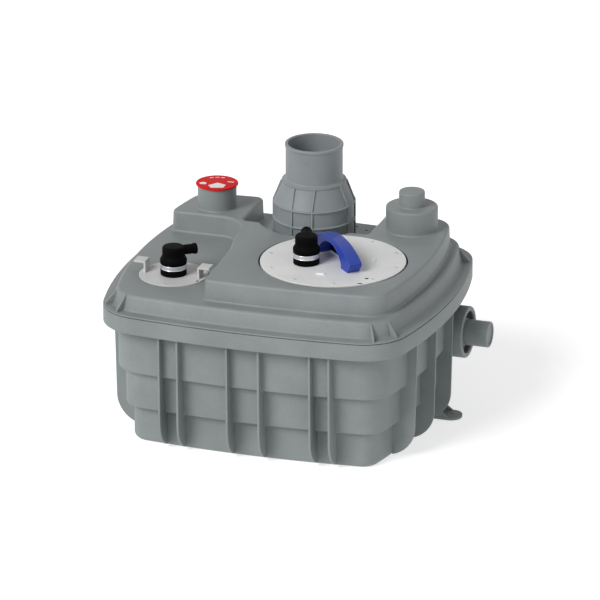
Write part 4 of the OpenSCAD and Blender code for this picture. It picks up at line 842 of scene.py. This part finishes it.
def add_hole_shade_disc(bm, place, radius, high):
    """Dark disc just under a hole's mouth: painted shade that makes the hole look deep."""
    z = high - HOLE_SINK
    add_turned(bm, [(radius - HOLE_GAP, z), (0, z)], at(*place), HOLE_STEPS, closed=False)


def build_motor_cover(material, dark):
    """Flat round cover with a rounded rim, a screw hole with painted shade in it, a dark notch of painted
    shade and the collar under it.
    """
    low, high = COVER_Z
    hole = (PUMP[0] + COVER_HOLE[0], PUMP[1] + COVER_HOLE[1])
    bm = bmesh.new()
    top_r, under_r = COVER_R - COVER_EDGE - 1, COVER_R - COVER_RIM
    rim = rounded([(under_r, low), (COVER_R, low, 0.8), (COVER_R, high, COVER_EDGE), (top_r, high)],
                  closed=False)
    add_turned(bm, rim, at(*PUMP), closed=False)
    add_plane(bm, [disc_outline(PUMP, top_r), disc_outline(hole, COVER_HOLE_R, HOLE_STEPS)], high)
    add_plane(bm, [disc_outline(PUMP, under_r)], low)
    add_blind_hole(bm, hole, COVER_HOLE_R, low, high)
    outside, inside, depth = COVER_COLLAR
    collar = [(outside, low), (outside, low - depth), (inside, low - depth), (inside, low)]
    add_turned(bm, collar, at(*PUMP))
    piece("cover_plate", bm, "pump_unit", material, ["motor_cover"])

    bm = bmesh.new()
    # Painted shade: a dark disc in the screw hole and a dark slab standing for the notch at the rim
    add_hole_shade_disc(bm, hole, COVER_HOLE_R, high)
    turn, reach = math.radians(COVER_NOTCH), COVER_R - COVER_NOTCH_IN
    x, y = PUMP[0] + reach * math.cos(turn), PUMP[1] + reach * math.sin(turn)
    notch = rounded([(x - 5, y - 2.4, 2), (x + 5, y - 2.0, 2), (x + 5, y + 2.4, 2), (x - 5, y + 2.0, 2)])
    add_slab(bm, notch, high - 1, high + 0.25, 0.2)
    piece("cover_painted_shade", bm, "pump_unit", dark)


def build_hatch(material, dark):
    """Flat hatch cover with its open hole and the painted shade in it, and the two bent finger grips."""
    low, high = HATCH_Z
    bm = bmesh.new()
    top_r = HATCH_R - HATCH_EDGE
    rim = rounded([(0, low), (HATCH_R, low, 0.8), (HATCH_R, high, 1.2), (top_r, high)], closed=False)
    add_turned(bm, rim, at(*HATCH), closed=False)
    hole = (HATCH[0] + HATCH_HOLE[0], HATCH[1] + HATCH_HOLE[1])
    add_plane(bm, [disc_outline(HATCH, top_r), disc_outline(hole, HATCH_HOLE_R, HOLE_STEPS)], high)
    add_blind_hole(bm, hole, HATCH_HOLE_R, low, high)
    piece("hatch_plate", bm, "hatch", material, ["hatch_cover"])

    bm = bmesh.new()
    # Painted shade: a dark disc in the hatch's hole
    add_hole_shade_disc(bm, hole, HATCH_HOLE_R, high)
    piece("hatch_painted_shade", bm, "hatch", dark)

    bm = bmesh.new()
    web, tip = GRIP_WEB + GRIP_T, GRIP_WEB + GRIP_T + GRIP_REACH
    under, top = high + GRIP_H - GRIP_T, high + GRIP_H
    grip = rounded([(GRIP_WEB, high), (web, high), (web, under, 1.5), (tip, under, 0.8), (tip, top, 0.8),
                    (GRIP_WEB, top, 2.5)], steps=4)
    for direction in (0, 180):
        add_profile(bm, grip, upright(*HATCH, direction), GRIP_W)
    soften(piece("grips", bm, "hatch", material, ["hatch_grips"]), 0.7)


def arch_radius(half, height):
    """Radius of an arch from half its span and its height."""
    return (half * half + height * height) / (2 * height)


def build_handle(material):
    """Flat arched lifting handle with broad feet, cut off at their lower outer corners."""
    half_in, gap_top = HANDLE_GAP
    cut, cut_h = HANDLE_CUT
    out_r = arch_radius(HANDLE_HALF, HANDLE_TOP - HANDLE_END)
    in_r = arch_radius(half_in, gap_top - HANDLE_FOOT)
    out_turn = math.degrees(math.asin(HANDLE_HALF / out_r))
    in_turn = math.degrees(math.asin(half_in / in_r))
    path = [(half_in, 0.0, 1.0), (HANDLE_HALF - cut, 0.0, 2.0), (HANDLE_HALF, cut_h, 2.0)]
    path += arc((0, HANDLE_TOP - out_r), out_r, 90 - out_turn, 90 + out_turn, 40)
    path += [(-HANDLE_HALF, cut_h, 2.0), (cut - HANDLE_HALF, 0.0, 2.0), (-half_in, 0.0, 1.0)]
    path += arc((0, gap_top - in_r), in_r, 90 + in_turn, 90 - in_turn, 32)
    bm = bmesh.new()
    place = at(0, 0, COVER_Z[1]) @ upright(*HANDLE, HANDLE_TURN)
    add_profile(bm, rounded(path, steps=4), place, HANDLE_W)
    soften(piece("handle_bow", bm, "pump_unit", material, ["lift_handle"]), 2.2, 4, 50)


def boot_profile():
    """Half section of a cable boot, from its foot to its crown."""
    low, high = CLAMP_Z
    return rounded([(0, 0), (BOOT_R, 0, 1.0), (BOOT_R, low - 1, 0.8), (BOOT_WAIST_R, low - 0.2),
                    (BOOT_WAIST_R, high + 0.2), (BOOT_R + 0.5, high + 1, 0.8), (BOOT_R + 0.7, 30.5, 3.5),
                    (BOOT_CROWN_R, 38, 2.5), (BOOT_CROWN_R, BOOT_H, 5.0), (0, BOOT_H)], closed=False)


def nozzle_profile():
    """Half section of a boot's side nozzle, from inside the boot to its open end."""
    rim, end = NOZZLE_RIM_R, NOZZLE_L
    return rounded([(0, 8), (NOZZLE_R, 8), (NOZZLE_R, end - 7, 0.8), (rim, end - 6, 1.0), (rim, end, 1.4),
                    (NOZZLE_BORE, end, 1.2), (NOZZLE_BORE, 30), (0, 30)], closed=False)


def band_profile():
    """Section of a clamp band with a raised bead along both of its edges."""
    low, high = CLAMP_Z
    inner, flat, bead = BOOT_R - 0.6, BOOT_R + 0.1, BOOT_R + 0.55
    return rounded([(inner, low), (flat, low, 0.3), (bead, low + 0.6, 0.3), (flat, low + 1.4, 0.3),
                    (flat, high - 1.4, 0.3), (bead, high - 0.6, 0.3), (flat, high, 0.3), (inner, high)],
                   steps=3)


def rounded_box(half_l, half_w, radius, steps):
    """A small rounded rectangle round the origin."""
    return rounded([(-half_l, -half_w, radius), (half_l, -half_w, radius), (half_l, half_w, radius),
                    (-half_l, half_w, radius)], steps=steps)


def build_boot(name, body, place, base, direction, rubber, steel, replaced):
    """Rubber cable boot with its side nozzle, and its worm-drive clamp."""
    bm = bmesh.new()
    add_turned(bm, boot_profile(), at(*place, base), steps=72, closed=False)
    turn = math.radians(direction)
    axis = (math.cos(turn), math.sin(turn), 0)
    add_turned(bm, nozzle_profile(), facing(*place, base + NOZZLE_Z, axis), steps=48, closed=False)
    piece(name, bm, body, rubber, replaced[:1])

    bm = bmesh.new()
    add_turned(bm, band_profile(), at(*place, base), steps=96)
    middle = at(*place, base + CLAMP_MIDDLE)
    worm = middle @ Matrix.Rotation(math.radians(CLAMP_TURN), 4, "Z")
    house = rounded_box(6, 4.6, 1.5, 4)
    add_profile(bm, house, worm @ facing(0, BOOT_R + 2.4, 0, (0, 1, 0)), 4.6)
    worm_screw = rounded([(0, -9), (2.6, -9, 0.5), (2.6, 5, 0.4), (3.6, 5, 0.4), (3.6, 8.5, 0.6), (0, 8.5)],
                         closed=False, steps=3)
    add_turned(bm, worm_screw, worm @ facing(0, BOOT_R + 3.2, 0, (1, 0, 0)), steps=24, closed=False)
    slot = rounded_box(0.6, 2.6, 0.5, 3)
    for k in range(CLAMP_SLOTS):
        spin = Matrix.Rotation(math.radians(CLAMP_TURN + SLOT_START + SLOT_STEP * k), 4, "Z")
        add_profile(bm, slot, middle @ spin @ facing(0, BOOT_R + 0.12, 0, (0, 1, 0)), 0.3)
    soften(piece(name + "_clamp", bm, body, steel, replaced[1:]), 0.3, 2, 50)


def build_cap(red, white):
    """Red transport cap with plain white shapes on it."""
    top, low = VENT_TOP + CAP_T, VENT_TOP - CAP_DEPTH
    centre = (-SIDE_SPIGOT_X, SPIGOT_Y)
    bore = VENT_R - SPIGOT_WALL
    plug_r, rim_r = bore - CAP_FIT, VENT_R + CAP_RIM
    bm = bmesh.new()
    disc = rounded([(0, low), (bore - WALL, low), (plug_r, low, 1), (plug_r, VENT_TOP),
                    (rim_r, VENT_TOP, 0.8), (rim_r, top, 1.0), (0, top)], closed=False)
    add_turned(bm, disc, at(*centre), closed=False)
    piece("cap_disc", bm, "vent_cap", red, ["vent_cap"])

    bm = bmesh.new()
    turn = math.radians(LABEL_TURN)
    for shape in LABEL_SHAPES:
        spun = [(centre[0] + x * math.cos(turn) - y * math.sin(turn),
                 centre[1] + x * math.sin(turn) + y * math.cos(turn)) for x, y in shape]
        add_slab(bm, spun, top - 0.2, top + 0.12)
    piece("cap_label", bm, "vent_cap", white)


# Materials

def srgb(r, g, b):
    """A screen colour, 0 to 255, as a linear one."""
    def linear(c):
        c /= 255
        return c / 12.92 if c <= 0.04045 else ((c + 0.055) / 1.055) ** 2.4
    return linear(r), linear(g), linear(b), 1.0


def surface(name, dark, light, rough, bump, grain=900.0, patch=9.0, edge_highlight=0.12, metallic=0.0, specular=0.45,
            stretch=(1, 1, 1)):
    """A moulded, painted or machined surface: patchy colour, fine grain, uneven gloss and a painted highlight
    on its edges.
    """
    material = bpy.data.materials.new(name)
    material.use_nodes = True
    nodes, links = material.node_tree.nodes, material.node_tree.links
    shader = nodes["Principled BSDF"]
    shader.inputs["Metallic"].default_value = metallic
    shader.inputs["Specular IOR Level"].default_value = specular
    place = nodes.new("ShaderNodeTexCoord")
    mapping = nodes.new("ShaderNodeMapping")
    mapping.inputs["Scale"].default_value = stretch
    links.new(place.outputs["Object"], mapping.inputs["Vector"])

    def noise(scale, detail, roughness):
        node = nodes.new("ShaderNodeTexNoise")
        node.inputs["Scale"].default_value = scale
        node.inputs["Detail"].default_value = detail
        node.inputs["Roughness"].default_value = roughness
        links.new(mapping.outputs["Vector"], node.inputs["Vector"])
        return node

    cloud = noise(patch, 4.0, 0.6)
    speck = noise(grain * 0.25, 2.0, 0.5)
    fine = noise(grain, 3.0, 0.6)
    blend = nodes.new("ShaderNodeMath")
    blend.operation = "MULTIPLY_ADD"
    blend.inputs[1].default_value = 0.25
    links.new(speck.outputs["Fac"], blend.inputs[0])
    links.new(cloud.outputs["Fac"], blend.inputs[2])
    ramp = nodes.new("ShaderNodeValToRGB")
    ramp.color_ramp.elements[0].position = 0.42
    ramp.color_ramp.elements[0].color = dark
    ramp.color_ramp.elements[1].position = 0.82
    ramp.color_ramp.elements[1].color = light
    links.new(blend.outputs[0], ramp.inputs["Fac"])
    # Painted highlight: sharp convex edges, found by pointiness, are mixed towards a brighter tint
    edge = nodes.new("ShaderNodeNewGeometry")
    edge_highlight_ramp = nodes.new("ShaderNodeMapRange")
    edge_highlight_ramp.inputs["From Min"].default_value = 0.52
    edge_highlight_ramp.inputs["From Max"].default_value = 0.62
    edge_highlight_ramp.inputs["To Max"].default_value = edge_highlight
    links.new(edge.outputs["Pointiness"], edge_highlight_ramp.inputs["Value"])
    highlighted_edge = nodes.new("ShaderNodeMix")
    highlighted_edge.data_type = "RGBA"
    highlighted_edge.inputs["B"].default_value = tuple(min(1.0, c * 1.6 + 0.02) for c in light[:3]) + (1.0,)
    links.new(edge_highlight_ramp.outputs["Result"], highlighted_edge.inputs["Factor"])
    links.new(ramp.outputs["Color"], highlighted_edge.inputs["A"])
    links.new(highlighted_edge.outputs["Result"], shader.inputs["Base Color"])
    gloss = nodes.new("ShaderNodeMapRange")
    gloss.inputs["From Min"].default_value = 0.3
    gloss.inputs["From Max"].default_value = 0.7
    gloss.inputs["To Min"].default_value = rough - 0.06
    gloss.inputs["To Max"].default_value = rough + 0.07
    links.new(cloud.outputs["Fac"], gloss.inputs["Value"])
    links.new(gloss.outputs["Result"], shader.inputs["Roughness"])
    relief = nodes.new("ShaderNodeBump")
    relief.inputs["Strength"].default_value = bump
    relief.inputs["Distance"].default_value = 0.0004
    links.new(fine.outputs["Fac"], relief.inputs["Height"])
    links.new(relief.outputs["Normal"], shader.inputs["Normal"])
    return material


def make_materials():
    """Every finish on the station, by the record's slot or by what only the scene tells apart."""
    return {
        "tank_grey": surface("moulded_grey", srgb(122, 129, 129), srgb(136, 142, 142), 0.56, 0.22),
        "lid_grey": surface("lid_grey_moulded", srgb(124, 130, 130), srgb(138, 143, 144), 0.54, 0.2),
        "tower_grey": surface("tower_grey_moulded", srgb(126, 132, 134), srgb(139, 145, 147), 0.5, 0.18),
        "pipe_grey": surface("pipe_grey_smooth", srgb(118, 124, 125), srgb(134, 139, 140), 0.42, 0.1),
        "cover_white": surface("cover_white_satin", srgb(222, 223, 222), srgb(237, 237, 235), 0.5, 0.12,
                               edge_highlight=0.3),
        # Painted shade: the cover's white made darker for the hatch down on the lower deck
        "hatch_white_shaded": surface("hatch_white_painted_shade", srgb(194, 195, 194), srgb(210, 210, 208), 0.5, 0.12,
                               edge_highlight=0.3),
        "trim_white": surface("trim_white_satin", srgb(226, 226, 224), srgb(240, 240, 237), 0.48, 0.1,
                              edge_highlight=0.3),
        "handle_blue": surface("handle_blue_gloss", srgb(28, 54, 152), srgb(42, 72, 174), 0.36, 0.12,
                               edge_highlight=0.2, specular=0.4),
        "cap_red": surface("cap_red_gloss", srgb(206, 4, 9), srgb(226, 10, 15), 0.5, 0.06, edge_highlight=0.0,
                           specular=0.12),
        "label_white": surface("label_white_print", srgb(236, 232, 230), srgb(248, 246, 244), 0.5, 0.03,
                               edge_highlight=0.0),
        "boot_black": surface("boot_black_rubber", srgb(1, 1, 1), srgb(3, 3, 4), 0.7, 0.3, edge_highlight=0.0,
                              specular=0.06),
        "seal_black": surface("seal_black_rubber", srgb(14, 14, 15), srgb(28, 28, 29), 0.7, 0.3),
        "capacitor_black": surface("capacitor_black_gloss", srgb(18, 18, 20), srgb(32, 32, 34), 0.3, 0.05),
        "clamp_steel": surface("clamp_steel_rolled", srgb(196, 198, 203), srgb(222, 223, 228), 0.3, 0.1,
                               metallic=0.85, stretch=(1, 1, 8)),
        "screw_steel": surface("screw_steel_bright", srgb(170, 172, 176), srgb(200, 201, 204), 0.34, 0.1,
                               metallic=0.7),
        "screw_white": surface("screw_white_painted", srgb(196, 197, 196), srgb(212, 212, 210), 0.5, 0.1),
        "bearing_steel": surface("bearing_steel_ground", srgb(176, 178, 182), srgb(205, 206, 209), 0.22, 0.08,
                                 metallic=1.0, stretch=(1, 1, 12)),
        "core_steel": surface("core_steel_laminated", srgb(104, 105, 110), srgb(138, 139, 143), 0.45, 0.5,
                              metallic=0.9, stretch=(0.05, 0.05, 3)),
        "cutter_steel": surface("cutter_steel_ground", srgb(160, 162, 166), srgb(192, 193, 197), 0.26, 0.15,
                                metallic=1.0, stretch=(8, 1, 1)),
        "cast_iron": surface("cast_iron_painted", srgb(52, 55, 58), srgb(72, 75, 78), 0.52, 0.7, grain=420.0),
        "winding_copper": surface("winding_copper_wire", srgb(150, 82, 40), srgb(190, 112, 60), 0.36, 0.8,
                                  metallic=0.8, stretch=(1, 1, 14)),
        # Painted shade: dark colour that stands in for the shade inside holes and the notch
        "painted_hole_shade": surface("hole_shadow", srgb(20, 20, 20), srgb(34, 34, 34), 0.8, 0.05, edge_highlight=0.0),
    }


def dress_nodes(made):
    """Gives the CAD nodes that stay their finish, and rounds their edges a little."""
    slots = {part["node"]: part["material_slot"] for part in frame["record"]["subparts"]}
    for name, node in frame["nodes"].items():
        node.data.materials.clear()
        node.data.materials.append(made["screw_white" if name in PALE_SCREWS else slots[name]])
        soften(node, 0.5, 2, 40)


# Stage, light and camera

def build_stage():
    """Pale plain floor that keeps the object's shadow and throws some light back up."""
    mesh = bpy.data.meshes.new("floor")
    half = FLOOR_HALF
    corners = [(-half, -half, 0), (half, -half, 0), (half, half, 0), (-half, half, 0)]
    mesh.from_pydata(corners, [], [(0, 1, 2, 3)])
    floor = bpy.data.objects.new("floor", mesh)
    floor.location.z = -FLOOR_DROP
    bpy.context.scene.collection.objects.link(floor)
    material = bpy.data.materials.new("floor_pale")
    material.use_nodes = True
    nodes, links = material.node_tree.nodes, material.node_tree.links
    nodes.clear()
    out = nodes.new("ShaderNodeOutputMaterial")
    diffuse = nodes.new("ShaderNodeBsdfDiffuse")
    diffuse.inputs["Color"].default_value = (0.8, 0.8, 0.8, 1)
    glow = nodes.new("ShaderNodeEmission")
    level = nodes.new("ShaderNodeMapRange")
    level.inputs["To Min"].default_value = FLOOR_GLOW
    level.inputs["To Max"].default_value = FLOOR_LIFT
    both = nodes.new("ShaderNodeAddShader")
    ray = nodes.new("ShaderNodeLightPath")
    links.new(seen_rays(nodes, links, ray), level.inputs["Value"])
    links.new(level.outputs["Result"], glow.inputs["Strength"])
    links.new(diffuse.outputs[0], both.inputs[0])
    links.new(glow.outputs[0], both.inputs[1])
    links.new(both.outputs[0], out.inputs["Surface"])
    mesh.materials.append(material)


def seen_rays(nodes, links, ray):
    """1 for rays from the camera, off gloss or through glass."""
    first = nodes.new("ShaderNodeMath")
    first.operation = "MAXIMUM"
    links.new(ray.outputs["Is Camera Ray"], first.inputs[0])
    links.new(ray.outputs["Is Glossy Ray"], first.inputs[1])
    second = nodes.new("ShaderNodeMath")
    second.operation = "MAXIMUM"
    links.new(first.outputs[0], second.inputs[0])
    links.new(ray.outputs["Is Transmission Ray"], second.inputs[1])
    return second.outputs[0]


def build_light():
    """Soft even sky, a broad soft lamp from the upper left and a faint low one from the right."""
    world = bpy.data.worlds.new("studio")
    bpy.context.scene.world = world
    world.use_nodes = True
    nodes, links = world.node_tree.nodes, world.node_tree.links
    nodes.clear()
    out = nodes.new("ShaderNodeOutputWorld")
    light = nodes.new("ShaderNodeBackground")
    light.inputs["Strength"].default_value = SKY_STRENGTH
    seen = nodes.new("ShaderNodeBackground")
    seen.inputs["Strength"].default_value = 1.0
    for node in (light, seen):
        node.inputs["Color"].default_value = (1, 1, 1, 1)
    pick = nodes.new("ShaderNodeMixShader")
    ray = nodes.new("ShaderNodeLightPath")
    links.new(seen_rays(nodes, links, ray), pick.inputs["Fac"])
    links.new(light.outputs[0], pick.inputs[1])
    links.new(seen.outputs[0], pick.inputs[2])
    links.new(pick.outputs[0], out.inputs["Surface"])
    for name, direction, strength, spread in LAMPS:
        lamp = bpy.data.lights.new(name, "SUN")
        lamp.energy = strength
        lamp.angle = math.radians(spread)
        obj = bpy.data.objects.new(name, lamp)
        obj.rotation_mode = "QUATERNION"
        obj.rotation_quaternion = Vector(direction).normalized().to_track_quat("Z", "Y")
        bpy.context.scene.collection.objects.link(obj)


def build_camera():
    """Long lens at the photograph's angle, aimed a little right of the object's axis."""
    azimuth, elevation = math.radians(CAMERA_AZIMUTH), math.radians(CAMERA_ELEVATION)
    back = Vector((math.sin(azimuth) * math.cos(elevation), -math.cos(azimuth) * math.cos(elevation),
                   math.sin(elevation)))
    right = Vector((math.cos(azimuth), math.sin(azimuth), 0))
    up = back.cross(right)
    aim = Vector(CAMERA_AIM) + right * CAMERA_SIDE + up * CAMERA_UP
    lens = bpy.data.cameras.new("camera")
    lens.lens = CAMERA_LENS
    lens.sensor_width = CAMERA_SENSOR
    lens.clip_end = 100
    camera = bpy.data.objects.new("camera", lens)
    camera.matrix_world = Matrix.Translation(aim + back * CAMERA_DISTANCE) @ Matrix((
        (right.x, up.x, back.x, 0), (right.y, up.y, back.y, 0), (right.z, up.z, back.z, 0), (0, 0, 0, 1)))
    bpy.context.scene.collection.objects.link(camera)
    bpy.context.scene.camera = camera


def main():
    """Builds the whole scene."""
    bpy.context.scene.view_settings.view_transform = "Standard"
    build_camera()
    build_stage()
    build_light()
    made = make_materials()
    dress_nodes(made)
    build_tank(made["tank_grey"])
    build_lid(made["lid_grey"], made["painted_hole_shade"])
    build_tower(made["tower_grey"])
    build_motor_cover(made["cover_white"], made["painted_hole_shade"])
    build_hatch(made["hatch_white_shaded"], made["painted_hole_shade"])
    build_handle(made["handle_blue"])
    build_boot("boot_of_motor", "pump_unit", MOTOR_BOOT, COVER_Z[1], MOTOR_BOOT_TURN, made["boot_black"],
               made["clamp_steel"], ["motor_boot", "motor_boot_clamp", "motor_clamp_screw"])
    build_boot("boot_of_hatch", "hatch", HATCH, HATCH_Z[1], HATCH_BOOT_TURN, made["boot_black"],
               made["clamp_steel"], ["hatch_boot", "hatch_boot_clamp", "hatch_clamp_screw"])
    build_cap(made["cap_red"], made["label_white"])


main()
